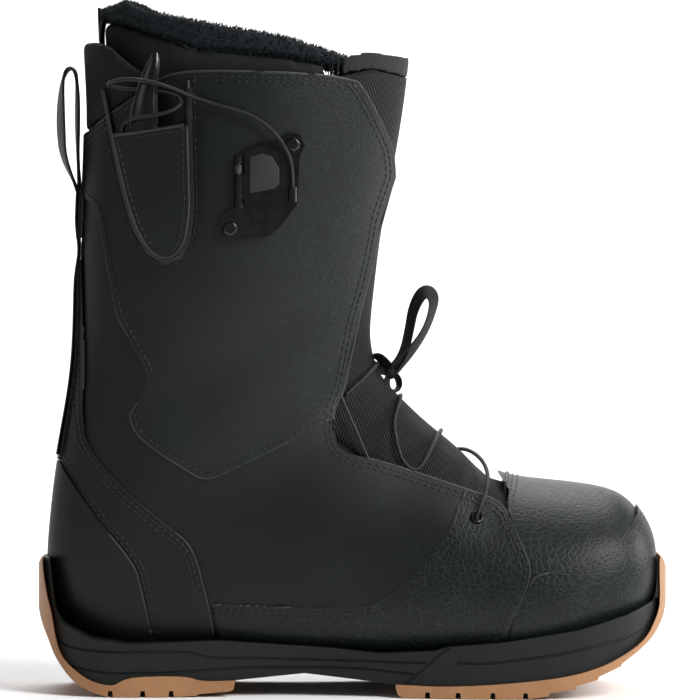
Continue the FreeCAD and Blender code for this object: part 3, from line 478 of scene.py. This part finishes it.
# The throat's end: the vamp's rolled edge and its two rows run across the boot from flap to flap.
THROAT_HALF = 27
THROAT_BOW = 3.2
throat = []
for start_x in (78.4, 81.0, 83.4):
    line = []
    for across_y in np.linspace(-THROAT_HALF, THROAT_HALF, 40):
        bowed_x = start_x - THROAT_BOW * (across_y / THROAT_HALF) ** 2
        start = Vector((bowed_x * MM, (across_y + BOX_SHIFT) * MM, 0.2))
        hit, normal, _, _ = leather_surface.ray_cast(start, Vector((0, 0, -1)), 0.2)
        if hit is not None:
            line.append(hit + (normal if normal.z > 0 else -normal) * 0.12 * MM)
    throat.append(line)
throat_edge = paint(bead("throat_edge", throat[0], 1.8), edge_coat_and_highlight)
throat_seams = paint(join("throat_stitching", [stitch_row(throat[1]), stitch_row(throat[2])]), thread)
for piece in (throat_edge, throat_seams):
    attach(piece, "root")

# ---- sole ----------------------------------------------------------------------------
# A black EVA midsole with moulded grooves, over two units of tan gum rubber: the heel cup
# with its block, and the forefoot tread that turns up over the toe.
GROOVES = [
    [(-147, 27), (-139, 23.8), (-122, 22), (-79, 22), (-72, 19.2), (-40, 18.6), (4.5, 17.8), (36.5, 17.1)],
    [(-144, 15.5), (-122, 11.6), (-90, 11.7), (-57, 14), (-20, 14.6), (4.5, 14.2), (31, 11.6)],
    [(151.6, 37.8), (134.8, 28.9), (101.3, 21.6), (67.8, 17.2), (52, 17.4)],
    [(52, 26.6), (47.6, 25), (34.2, 13.2), (27, 7)],
]


def copy_of(node, name):
    """A merged copy of a CAD node's mesh, to be worked on."""
    piece = bpy.data.objects.new(name, nodes[node].data.copy())
    bpy.context.scene.collection.objects.link(piece)
    activate(piece)
    bpy.ops.mesh.customdata_custom_splitnormals_clear()
    bpy.ops.object.mode_set(mode="EDIT")
    bpy.ops.mesh.select_all(action="SELECT")
    bpy.ops.mesh.remove_doubles(threshold=0.01 * MM)
    bpy.ops.object.mode_set(mode="OBJECT")
    return piece


def surface_of(*names):
    """What lines are laid on: the named CAD nodes as one surface."""
    gathered = bmesh.new()
    for name in names:
        gathered.from_mesh(nodes[name].data)
    tree = BVHTree.FromBMesh(gathered)
    gathered.free()
    return tree


midsole = copy_of("midsole", "midsole_grooved")
midsole_surface = surface_of("midsole")
GROOVE_WIDTH = 1.5
cutters = []
for way in (-1, 1):
    for number, groove in enumerate(GROOVES):
        laid = lay(side_line(groove), way, -0.1, midsole_surface)
        cutters.append(bead(f"groove_{number}", laid, GROOVE_WIDTH))
for cutter in cutters:
    carve = midsole.modifiers.new("carve", "BOOLEAN")
    carve.operation = "DIFFERENCE"
    carve.object = cutter
    activate(midsole)
    bpy.ops.object.modifier_apply(modifier="carve")
    bpy.data.objects.remove(cutter)
bpy.ops.object.shade_smooth_by_angle(angle=math.radians(35))

# EVA foam moulded with a fine spark-eroded skin: matt, nearly black, with faint mottling.
foam, tree, shader, place = new_material("moulded_eva_foam")
spark = add(tree, "ShaderNodeTexNoise", {"Vector": place, "Scale": 1 / (0.6 * MM), "Detail": 4.0})
cloud = add(tree, "ShaderNodeTexNoise", {"Vector": place, "Scale": 1 / (30 * MM), "Detail": 2.0})
tint = add(tree, "ShaderNodeMixRGB", {
    "Fac": cloud.outputs["Fac"], "Color1": linear("#0a0c0c"), "Color2": linear("#171b1b")})
relief = add(tree, "ShaderNodeBump", {"Height": spark.outputs["Fac"], "Strength": 0.6, "Distance": 0.08 * MM})
tree.links.new(tint.outputs["Color"], shader.inputs["Base Color"])
tree.links.new(relief.outputs["Normal"], shader.inputs["Normal"])
shader.inputs["Roughness"].default_value = 0.55
shader.inputs["Specular IOR Level"].default_value = 0.3
paint(midsole, foam)
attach(midsole, "root")
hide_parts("midsole")

# Gum rubber, pressed and slightly see-through at its skin: warm tan, satin, with flow marks.
gum, tree, shader, place = new_material("pressed_gum_rubber")
flow = add(tree, "ShaderNodeTexNoise", {
    "Vector": place, "Scale": 1 / (22 * MM), "Detail": 5.0, "Distortion": 0.6})
skin = add(tree, "ShaderNodeTexNoise", {"Vector": place, "Scale": 1 / (0.8 * MM), "Detail": 3.0})
tint = add(tree, "ShaderNodeMixRGB", {
    "Fac": flow.outputs["Fac"], "Color1": linear("#8f6340"), "Color2": linear("#ae8056")})
relief = add(tree, "ShaderNodeBump", {"Height": skin.outputs["Fac"], "Strength": 0.5, "Distance": 0.1 * MM})
tree.links.new(tint.outputs["Color"], shader.inputs["Base Color"])
tree.links.new(relief.outputs["Normal"], shader.inputs["Normal"])
shader.inputs["Roughness"].default_value = 0.52
shader.inputs["Subsurface Weight"].default_value = 0.08
shader.inputs["Subsurface Scale"].default_value = 0.002
for name in ("outsole_heel", "outsole_forefoot"):
    paint(nodes[name], gum)

# ---- tongue ---------------------------------------------------------------------------
# Padded nylon: a smooth fabric down its middle, and corded nylon with slanting ribs on both
# flanks. Its top edge is bound with grosgrain.


PRESSURE = 4.0
CLOTH_FRAMES = 20


def swell(piece, voxel, cap, reach=None):
    """Remeshes a closed pad and lets cloth under pressure round it, each point by at most cap."""
    activate(piece)
    even = piece.modifiers.new("even", "REMESH")
    even.mode = "VOXEL"
    even.voxel_size = voxel * MM
    bpy.ops.object.modifier_apply(modifier="even")
    start = np.array([vertex.co for vertex in piece.data.vertices])
    cloth = piece.modifiers.new("swell", "CLOTH")
    cloth.settings.use_pressure = True
    cloth.settings.uniform_pressure_force = PRESSURE
    cloth.settings.effector_weights.gravity = 0
    cloth.collision_settings.use_collision = False
    for step in range(1, CLOTH_FRAMES + 1):
        bpy.context.scene.frame_set(step)
    swollen = piece.evaluated_get(bpy.context.evaluated_depsgraph_get())
    end = np.array([vertex.co for vertex in swollen.data.vertices])
    piece.modifiers.remove(cloth)
    bpy.context.scene.frame_set(1)
    move = end - start
    far = np.linalg.norm(move, axis=1)
    limit = cap * MM * (np.ones(len(start)) if reach is None else reach(start))
    move *= np.minimum(1, limit / np.maximum(far, 1e-9))[:, None]
    piece.data.vertices.foreach_set("co", (start + move).astype(np.float32).ravel())
    piece.data.update()
    finer = piece.modifiers.new("finer", "SUBSURF")
    finer.levels = 1
    finer.render_levels = 1
    activate(piece)
    bpy.ops.object.modifier_apply(modifier="finer")
    bpy.ops.object.shade_smooth()
    return piece


tongue_shell = swell(copy_of("tongue", "tongue_shell"), voxel=1.5, cap=0.5)
tongue = join("tongue_padded", [tongue_shell, copy_of("tongue", "tongue_lining")])
ridge = [vertex.co.copy() for vertex in tongue.data.vertices
         if abs(vertex.co.y - BOX_SHIFT * MM) < 1.2 * MM and vertex.normal.x > 0.3]
nearest = KDTree(len(ridge))
for number, spot in enumerate(ridge):
    nearest.insert(spot, number)
nearest.balance()
across = tongue.data.attributes.new("across", "FLOAT", "POINT")
across.data.foreach_set("value", [nearest.find(vertex.co)[2] for vertex in tongue.data.vertices])

# Corded nylon: round ribs, matt, with painted shade in the valley between them.
ribbed, tree, shader, place = new_material("corded_nylon")
RIB_PITCH = 1.35
MIDDLE_HALF = 13.0
lane = add(tree, "ShaderNodeAttribute", attribute_name="across")
split = add(tree, "ShaderNodeSeparateXYZ", {"Vector": place})
slant = add(tree, "ShaderNodeMath", {0: split.outputs["Z"], 1: 0.36, 2: split.outputs["X"]},
            operation="MULTIPLY_ADD")
phase = add(tree, "ShaderNodeMath", {0: slant.outputs["Value"], 1: 2 * math.pi / (RIB_PITCH * MM)},
            operation="MULTIPLY")
wave = add(tree, "ShaderNodeMath", {0: phase.outputs["Value"]}, operation="SINE")
rib = add(tree, "ShaderNodeMapRange", {"Value": wave.outputs["Value"], "From Min": -1.0, "From Max": 1.0},
          interpolation_type="SMOOTHSTEP")
flank = add(tree, "ShaderNodeMapRange", {
    "Value": lane.outputs["Fac"], "From Min": MIDDLE_HALF * MM, "From Max": (MIDDLE_HALF + 1) * MM})
weave = add(tree, "ShaderNodeTexNoise", {"Vector": place, "Scale": 1 / (0.45 * MM), "Detail": 2.0})
shown = add(tree, "ShaderNodeMixRGB", {
    "Fac": flank.outputs["Result"], "Color1": weave.outputs["Fac"], "Color2": rib.outputs["Result"]})
relief = add(tree, "ShaderNodeBump", {
    "Height": shown.outputs["Color"], "Strength": 0.9, "Distance": 0.5 * MM})
# Painted shade: on the flanks the colour darkens into each rib's valley.
tint = add(tree, "ShaderNodeMixRGB", {
    "Fac": shown.outputs["Color"], "Color1": linear("#030303"), "Color2": linear("#1a1c1d")})
tree.links.new(tint.outputs["Color"], shader.inputs["Base Color"])
tree.links.new(relief.outputs["Normal"], shader.inputs["Normal"])
shader.inputs["Roughness"].default_value = 0.66
shader.inputs["Specular IOR Level"].default_value = 0.22
paint(tongue, ribbed)
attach(tongue, "root")
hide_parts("tongue")

# Grosgrain: close crosswise ribs, drawn coarser than life so that they show, with painted shade in the
# valleys between them.
grosgrain, tree, shader, place = new_material("polyester_grosgrain")
GROSGRAIN_PITCH = 1.1
split = add(tree, "ShaderNodeSeparateXYZ", {"Vector": place})
mixed = add(tree, "ShaderNodeMath", {0: split.outputs["X"], 1: split.outputs["Z"]}, operation="SUBTRACT")
phase = add(tree, "ShaderNodeMath", {0: mixed.outputs["Value"], 1: 1.4 * math.pi / (GROSGRAIN_PITCH * MM)},
            operation="MULTIPLY")
wave = add(tree, "ShaderNodeMath", {0: phase.outputs["Value"]}, operation="SINE")
rib = add(tree, "ShaderNodeMapRange", {"Value": wave.outputs["Value"], "From Min": -1.0})
relief = add(tree, "ShaderNodeBump", {"Height": rib.outputs["Result"], "Strength": 0.8, "Distance": 0.3 * MM})
# Painted shade: the colour darkens into each rib's valley.
tint = add(tree, "ShaderNodeMixRGB", {
    "Fac": rib.outputs["Result"], "Color1": linear("#040404"), "Color2": linear("#1a1b1c")})
tree.links.new(tint.outputs["Color"], shader.inputs["Base Color"])
tree.links.new(relief.outputs["Normal"], shader.inputs["Normal"])
shader.inputs["Roughness"].default_value = 0.6
shader.inputs["Specular IOR Level"].default_value = 0.25
binding = swell(copy_of("tongue_binding", "tongue_binding_band"), voxel=1.3, cap=1.0)
paint(binding, grosgrain)
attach(binding, "root")
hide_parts("tongue_binding")

# ---- liner ----------------------------------------------------------------------------
# The inner boot: EVA foam between brushed fabric, with a pile collar round its mouth and a
# grosgrain loop up its back. Only its top shows.


def above_shell(points):
    """Full swelling above the shell's rim, and next to none inside it."""
    return np.clip((points[:, 2] - 290 * MM) / (15 * MM), 0.06, 1)


def napped(name, dark, light, fibre, depth):
    """A knit with a brushed face: fine uneven fibres and no gloss."""
    material, tree, shader, place = new_material(name)
    fuzz = add(tree, "ShaderNodeTexNoise", {"Vector": place, "Scale": 1 / (fibre * MM), "Detail": 4.0})
    cloud = add(tree, "ShaderNodeTexNoise", {"Vector": place, "Scale": 1 / (12 * MM), "Detail": 3.0})
    height = add(tree, "ShaderNodeMath", {0: cloud.outputs["Fac"], 1: fuzz.outputs["Fac"]}, operation="ADD")
    relief = add(tree, "ShaderNodeBump", {
        "Height": height.outputs["Value"], "Strength": 0.8, "Distance": depth * MM})
    tint = add(tree, "ShaderNodeMixRGB", {
        "Fac": fuzz.outputs["Fac"], "Color1": linear(dark), "Color2": linear(light)})
    tree.links.new(tint.outputs["Color"], shader.inputs["Base Color"])
    tree.links.new(relief.outputs["Normal"], shader.inputs["Normal"])
    shader.inputs["Roughness"].default_value = 0.85
    shader.inputs["Specular IOR Level"].default_value = 0.25
    return material


brushed_knit = napped("brushed_liner_knit", "#0b0c0d", "#1d1f21", 0.5, 0.12)
for node, voxel, cap in (("liner", 3.0, 3.0), ("liner_tongue", 2.6, 2.0)):
    pad = swell(copy_of(node, node + "_padded"), voxel, cap, reach=above_shell)
    paint(pad, brushed_knit)
    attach(pad, "root")
    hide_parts(node)
paint(nodes["footbed"], brushed_knit)

# The padded collar over the heel tendon: foam in stretch knit, sewn into the shell's rim.
collar = swell(copy_of("achilles_collar", "achilles_collar_padded"), voxel=2.4, cap=3.5)
paint(collar, napped("stretch_collar_knit", "#08090a", "#191b1c", 0.4, 0.08))
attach(collar, "root")
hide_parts("achilles_collar")

# Acrylic pile, cut uneven: a soft core with thousands of leaning tufts.
TUFTS = 15000
PILE = 2.3
fur = swell(copy_of("liner_fur_collar", "fur_collar_core"), voxel=1.8, cap=1.5)
rng = np.random.default_rng(7)
faces = [face for face in fur.data.polygons if face.area > 0]
areas = np.array([face.area for face in faces])
picks = rng.choice(len(faces), TUFTS, p=areas / areas.sum())
corners = []
triangles = []
for pick in picks:
    face = faces[pick]
    normal = face.normal
    centre = face.center + Vector(rng.normal(0, 0.5, 3)) * MM
    lean = (normal + Vector(rng.normal(0, 0.7, 3))).normalized()
    tip = centre + lean * PILE * MM * rng.uniform(0.4, 1.0)
    spread = lean.orthogonal().normalized()
    first = len(corners)
    for third in range(3):
        turned = Matrix.Rotation(third * 2 * math.pi / 3, 3, lean) @ spread
        corners.append(centre - normal * 0.4 * MM + turned * 0.36 * MM)
    corners.append(tip)
    triangles.extend([(first, first + 1, first + 3), (first + 1, first + 2, first + 3),
                      (first + 2, first, first + 3)])
tuft_mesh = bpy.data.meshes.new("fur_tufts")
tuft_mesh.from_pydata(corners, [], triangles)
tufts = bpy.data.objects.new("fur_tufts", tuft_mesh)
bpy.context.scene.collection.objects.link(tufts)
pile = napped("acrylic_pile", "#0a0e10", "#232b2e", 0.8, 0.2)
for piece in (fur, tufts):
    paint(piece, pile)
    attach(piece, "root")
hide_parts("liner_fur_collar")

# ---- handle pocket -----------------------------------------------------------------------
# A leather pocket for the pull handle, with ribbed elastic down its sides so that it opens,
# and a corded piping where it is sewn to the cuff.
POCKET = [
    (-117.8, 278), (-113, 256.5), (-109.5, 243), (-105.5, 231), (-99, 219.5), (-91, 215),
    (-84.5, 217.5), (-80.5, 225), (-78.5, 240), (-79, 260), (-79.5, 279.6),
]
PIPING = [(-122, 300)] + POCKET[:-1] + [(-79.5, 277), (-79.5, 303)]
MOUTH = [(-117, 276.2), (-109, 277), (-81.5, 281)]
pocket_surface = surface_of("pocket_panel")
# The pocket leather's third colour is the same painted highlight on its crease net.
paint(nodes["pocket_panel"], leather("pocket_leather", "#080a0a", "#171c1d", "#2c3233", 2.4, 0.08, 0.44))
paint(nodes["pocket_binding"], edge_coat_and_highlight)

# Ribbed elastic: rubber cords bound in polyester, ribs level, 1.3 mm apart, with painted shade in the valleys
# between them.
elastic, tree, shader, place = new_material("ribbed_elastic")
ELASTIC_PITCH = 1.3
split = add(tree, "ShaderNodeSeparateXYZ", {"Vector": place})
phase = add(tree, "ShaderNodeMath", {0: split.outputs["Z"], 1: 2 * math.pi / (ELASTIC_PITCH * MM)},
            operation="MULTIPLY")
wave = add(tree, "ShaderNodeMath", {0: phase.outputs["Value"]}, operation="SINE")
rib = add(tree, "ShaderNodeMapRange", {"Value": wave.outputs["Value"], "From Min": -1.0})
relief = add(tree, "ShaderNodeBump", {"Height": rib.outputs["Result"], "Strength": 0.9, "Distance": 0.4 * MM})
# Painted shade: the colour darkens into each rib's valley.
tint = add(tree, "ShaderNodeMixRGB", {
    "Fac": rib.outputs["Result"], "Color1": linear("#040404"), "Color2": linear("#1a1c1d")})
tree.links.new(tint.outputs["Color"], shader.inputs["Base Color"])
tree.links.new(relief.outputs["Normal"], shader.inputs["Normal"])
shader.inputs["Roughness"].default_value = 0.6
paint(nodes["pocket_gusset"], elastic)
piping = bead("pocket_piping", on_leather(side_line(PIPING), -1, 0.5), 2.0)
rim = bead("pocket_rim", lay(side_line(POCKET, -0.4), -1, -0.3, pocket_surface), 1.2)
mouth = bead("pocket_mouth", lay(side_line(MOUTH, 0.3), -1, -0.3, pocket_surface), 1.5)
pocket_edges = paint(join("pocket_edges", [piping, rim, mouth]), edge_coat_and_highlight)
pocket_rows = [stitch_row(lay(side_line(POCKET, -2.6), -1, 0.1, pocket_surface)),
               stitch_row(lay(side_line(MOUTH, 2.4), -1, 0.1, pocket_surface)),
               stitch_row(on_leather(side_line(PIPING, 3.0), -1, 0.1))]
pocket_seams = paint(join("pocket_stitching", pocket_rows), thread)
for piece in (pocket_edges, pocket_seams):
    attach(piece, "root")

# ---- pull handle ---------------------------------------------------------------------------
# A moulded nylon horn, pulled up to tighten the lace. Its outer face is grained for grip and
# has a bright rib down it.
horn, tree, shader, place = new_material("gloss_moulded_nylon")
grit = add(tree, "ShaderNodeTexNoise", {"Vector": place, "Scale": 1 / (0.7 * MM), "Detail": 3.0})
relief = add(tree, "ShaderNodeBump", {"Height": grit.outputs["Fac"], "Strength": 0.5, "Distance": 0.1 * MM})
tint = add(tree, "ShaderNodeMixRGB", {
    "Fac": grit.outputs["Fac"], "Color1": linear("#060707"), "Color2": linear("#131415")})
tree.links.new(tint.outputs["Color"], shader.inputs["Base Color"])
tree.links.new(relief.outputs["Normal"], shader.inputs["Normal"])
shader.inputs["Roughness"].default_value = 0.24
shader.inputs["IOR"].default_value = 1.53
paint(nodes["pull_handle"], horn)
handle_surface = surface_of("pull_handle")
RIB_LINE = [(-95.0, 281), (-95.2, 292), (-95.0, 302), (-94.6, 309)]
handle_rib = bead("handle_rib", lay(side_line(RIB_LINE), -1, 0.0, handle_surface), 1.6)
paint(handle_rib, horn)
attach(handle_rib, "handle")

# ---- lace lock --------------------------------------------------------------------------------
# A glossy moulded base riveted through the cuff, with a hinged lever that clamps the lace. The
# lever carries a soft pad for the thumb; its spring is on the hinge pin.


def eased(node, name, width):
    """A copy of a CAD node with its hard edges rounded over."""
    piece = copy_of(node, name)
    activate(piece)
    bpy.ops.object.mode_set(mode="EDIT")
    bpy.ops.mesh.select_all(action="SELECT")
    bpy.ops.mesh.dissolve_limited(angle_limit=math.radians(1))
    bpy.ops.object.mode_set(mode="OBJECT")
    ease = piece.modifiers.new("ease", "BEVEL")
    ease.width = width * MM
    ease.segments = 3
    ease.limit_method = "ANGLE"
    ease.angle_limit = math.radians(40)
    ease.use_clamp_overlap = True
    bpy.ops.object.modifier_apply(modifier="ease")
    bpy.ops.object.shade_smooth_by_angle(angle=math.radians(50))
    return piece


gloss, tree, shader, place = new_material("polished_nylon_moulding")
haze = add(tree, "ShaderNodeTexNoise", {"Vector": place, "Scale": 1 / (5 * MM), "Detail": 3.0})
tint = add(tree, "ShaderNodeMixRGB", {
    "Fac": haze.outputs["Fac"], "Color1": linear("#050606"), "Color2": linear("#0e0f10")})
rough = add(tree, "ShaderNodeMapRange", {"Value": haze.outputs["Fac"], "To Min": 0.16, "To Max": 0.3})
tree.links.new(tint.outputs["Color"], shader.inputs["Base Color"])
tree.links.new(rough.outputs["Result"], shader.inputs["Roughness"])
shader.inputs["IOR"].default_value = 1.53
for name in ("lock_base", "lock_lever"):
    paint(nodes[name], gloss)

# The thumb pad is thermoplastic rubber with a fine blasted texture, dark grey.
rubber, tree, shader, place = new_material("blasted_thermoplastic_rubber")
blast = add(tree, "ShaderNodeTexNoise", {"Vector": place, "Scale": 1 / (0.35 * MM), "Detail": 3.0})
relief = add(tree, "ShaderNodeBump", {"Height": blast.outputs["Fac"], "Strength": 0.7, "Distance": 0.1 * MM})
tint = add(tree, "ShaderNodeMixRGB", {
    "Fac": blast.outputs["Fac"], "Color1": linear("#0b0c0c"), "Color2": linear("#242728")})
tree.links.new(tint.outputs["Color"], shader.inputs["Base Color"])
tree.links.new(relief.outputs["Normal"], shader.inputs["Normal"])
shader.inputs["Roughness"].default_value = 0.7
pad = paint(eased("lever_pad", "lever_pad_soft", 0.8), rubber)
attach(pad, "lever")
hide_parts("lever_pad")
paint(nodes["lock_rivets"], gloss)

# Spring steel, drawn wire and ground pin: bright, with fine scratches along it.
steel, tree, shader, place = new_material("drawn_spring_steel")
scratch = add(tree, "ShaderNodeTexNoise", {"Vector": place, "Scale": 1 / (0.4 * MM), "Detail": 2.0})
rough = add(tree, "ShaderNodeMapRange", {"Value": scratch.outputs["Fac"], "To Min": 0.25, "To Max": 0.45})
tree.links.new(rough.outputs["Result"], shader.inputs["Roughness"])
shader.inputs["Base Color"].default_value = linear("#6a6c6e")
shader.inputs["Metallic"].default_value = 1.0
for name in ("lock_pin", "lever_spring", "shank"):
    paint(nodes[name], steel)

# ---- eyelets and lace ---------------------------------------------------------------------------
# Black-plated brass eyelets, rolled over at the rim, and the waxed lace of the speed system.
plate, tree, shader, place = new_material("black_plated_brass")
worn = add(tree, "ShaderNodeTexNoise", {"Vector": place, "Scale": 1 / (2 * MM), "Detail": 3.0})
tint = add(tree, "ShaderNodeMixRGB", {
    "Fac": worn.outputs["Fac"], "Color1": linear("#101112"), "Color2": linear("#2b2c2e")})
tree.links.new(tint.outputs["Color"], shader.inputs["Base Color"])
shader.inputs["Metallic"].default_value = 0.8
shader.inputs["Roughness"].default_value = 0.22
eyelets = paint(eased("eyelets", "eyelets_rolled", 0.5), plate)
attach(eyelets, "root")
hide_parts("eyelets")

LACE = [
    (62.1, -41.8, 88.9), (63.2, -42.4, 93.0), (66.8, -37.6, 100.4), (68.2, -28.4, 107.6),
    (66.4, -17.2, 114.2),
    (61.8, -5.6, 118.6), (56.4, 7.4, 120.4), (50.2, 17.6, 118.8), (44.4, 24.8, 113.8), (41.3, 27.4, 108.0),
    (40.0, 25.6, 115.2), (42.8, 18.6, 122.8), (45.4, 7.2, 129.2), (45.0, -5.2, 130.2), (41.8, -16.6, 125.2),
    (37.8, -24.2, 117.4), (32.6, -28.4, 109.5), (25.7, -28.0, 114.4), (22.4, -25.0, 124.8),
    (21.0, -19.2, 135.2),
    (24.8, -8.6, 146.2), (25.2, 5.4, 148.0), (18.8, 17.6, 140.2), (13.2, 23.2, 130.8), (6.4, 24.2, 134.8),
    (3.6, 21.0, 145.4), (7.4, 15.2, 156.0), (13.8, 5.2, 163.8), (13.2, -7.2, 162.8), (5.8, -16.4, 155.4),
    (-2.4, -21.4, 148.2),
]
lace = smooth_line("lace_braid", LACE, CORD_DIAMETER)
activate(lace)
bpy.ops.object.convert(target="MESH")
lace = bpy.context.object
bpy.ops.object.shade_smooth()
paint(lace, braid)
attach(lace, "root")
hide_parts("lace")

# ---- webbing loops -------------------------------------------------------------------------------
# Polyester webbing: a wide pull loop sewn up the back, a ribbon tied to the lace, and a loop on
# the liner's back.


def strap(name, route, width, thick):
    """A band along a side-view route of (x, z, twist in degrees), its ends rounded off in section."""
    points = np.array(route, dtype=float)
    while len(points) < 40:
        cut = np.repeat(points, 2, axis=0)
        cut[1:-1:2] = 0.75 * points[:-1] + 0.25 * points[1:]
        cut[2:-1:2] = 0.25 * points[:-1] + 0.75 * points[1:]
        points = cut
    section = []
    for turn in np.linspace(0, 2 * math.pi, 12, endpoint=False):
        flat = math.copysign(abs(math.cos(turn)) ** 0.35, math.cos(turn))
        section.append((width / 2 * flat, thick / 2 * math.sin(turn)))
    corners = []
    for number, (x, z, twist) in enumerate(points):
        before = points[max(number - 1, 0)]
        after = points[min(number + 1, len(points) - 1)]
        along = Vector((after[0] - before[0], 0, after[1] - before[1])).normalized()
        side = Matrix.Rotation(math.radians(twist), 3, along) @ Vector((0, 1, 0))
        up = along.cross(side)
        middle = Vector((x, BOX_SHIFT, z))
        corners.extend((middle + side * u + up * v) * MM for u, v in section)
    ring = len(section)
    faces = [tuple(range(ring)), tuple(range(len(corners) - 1, len(corners) - 1 - ring, -1))]
    for start in range(0, len(corners) - ring, ring):
        for corner in range(ring):
            following = (corner + 1) % ring
            faces.append((start + corner, start + ring + corner, start + ring + following, start + following))
    mesh = bpy.data.meshes.new(name)
    mesh.from_pydata(corners, [], faces)
    piece = bpy.data.objects.new(name, mesh)
    bpy.context.scene.collection.objects.link(piece)
    activate(piece)
    bpy.ops.object.mode_set(mode="EDIT")
    bpy.ops.mesh.select_all(action="SELECT")
    bpy.ops.mesh.normals_make_consistent(inside=False)
    bpy.ops.object.mode_set(mode="OBJECT")
    bpy.ops.object.shade_smooth_by_angle(angle=math.radians(60))
    return piece


back_surface = surface_of(
    "quarter_outer", "quarter_inner", "cuff_panel_outer", "cuff_panel_inner", "heel_strap_outer",
    "heel_strap_inner", "heel_counter", "backstay", "rear_loop_anchor")
REAR_LOOP = [
    (-136.6, 249, 0), (-138.6, 254, 2), (-144.2, 267, 10), (-145.2, 280, 14), (-145.3, 292, 12),
    (-144.6, 304, 6), (-142.6, 309.6, 0), (-140, 311.3, 0), (-137.6, 309, 0), (-136.9, 300, -6),
    (-136.9, 285, -8), (-136.8, 268, -4),
    (-135.8, 250, 0),
]
RIBBON = [
    (20.4, 159.4, 40), (26.5, 167.5, 36), (29.4, 181, 34), (31, 190, 40), (34.6, 197.6, 50),
    (38.2, 199.6, 60),
    (41.2, 197, 50), (41.4, 191.5, 30), (37.6, 180, 24), (30, 169, 34), (21.6, 159.6, 40),
]
HITCH = [
    (20.2, 160, 40), (17, 163.6, 44), (14, 166.6, 36), (11, 166.8, 20), (10.4, 164.6, 10), (12.6, 162, 30),
    (16, 159.6, 44), (20.4, 159.2, 40),
]
ANCHOR = [
    (20, 159, 20), (17.6, 154.4, 34), (18.4, 150.4, 30), (21, 148.8, 10), (24.2, 150.8, 24), (24, 155.4, 36),
    (20.6, 159, 20),
]
loops = [
    ("rear_loop_webbing", REAR_LOOP, 22, 1.8, "rear_loop", "rear_pull_loop"),
    ("ribbon_loop_band", RIBBON, 8, 1.1, "ribbon", "ribbon_loop"),
    ("ribbon_hitch_band", HITCH, 7, 1.0, "root", "ribbon_hitch"),
    ("ribbon_anchor_band", ANCHOR, 6, 0.9, "root", "ribbon_anchor"),
]
for name, route, width, thick, body, node in loops:
    band = paint(strap(name, route, width, thick), grosgrain)
    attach(band, body)
    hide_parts(node)
# The tape sewn down the boot's back, under the loop's ends.
TAPE_TOP = 250
TAPE_FOOT = 118
heights = np.linspace(TAPE_TOP, TAPE_FOOT, 46)
back = []
for height in heights:
    start = Vector((-0.2, (BOX_SHIFT + 1.5) * MM, height * MM))
    hit, _, _, _ = back_surface.ray_cast(start, Vector((1, 0, 0)), 0.2)
    back.append(hit.x / MM if hit is not None else back[-1])
for _ in range(8):
    back[1:-1] = [(before + 2 * here + after) / 4 for before, here, after in zip(back, back[1:-1], back[2:])]
BACK_TAPE = [(x - 0.2, height, 0) for x, height in zip(back, heights)]
back_tape = paint(strap("back_tape", BACK_TAPE, 22, 1.6), smooth_leather)
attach(back_tape, "root")
LINER_TAPE = [(-123.6, 316, 0), (-124.8, 325, 0), (-124.2, 333, 0), (-121.4, 339.6, 0), (-117.6, 341.2, 0)]
liner_tape = paint(strap("liner_back_tape", LINER_TAPE, 20, 2.6), grosgrain)
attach(liner_tape, "root")
for name in ("rear_loop_anchor", "liner_back_loop", "ribbon_knot"):
    paint(nodes[name], grosgrain)

# ---- inside the shoe --------------------------------------------------------------------------------
# Fibre board under the foot and in the heel and toe, and a foam pad under the heel.
board, tree, shader, place = new_material("pressed_fibre_board")
fibres = add(tree, "ShaderNodeTexNoise", {
    "Vector": place, "Scale": 1 / (1.5 * MM), "Detail": 5.0, "Distortion": 1.5})
tint = add(tree, "ShaderNodeMixRGB", {
    "Fac": fibres.outputs["Fac"], "Color1": linear("#8d8474"), "Color2": linear("#b3a892")})
relief = add(tree, "ShaderNodeBump", {"Height": fibres.outputs["Fac"], "Strength": 0.5, "Distance": 0.1 * MM})
tree.links.new(tint.outputs["Color"], shader.inputs["Base Color"])
tree.links.new(relief.outputs["Normal"], shader.inputs["Normal"])
shader.inputs["Roughness"].default_value = 0.85
for name in ("lasting_board", "heel_stiffener", "toe_puff"):
    paint(nodes[name], board)
paint(nodes["heel_shock_pad"], foam)

low, high = cad_box
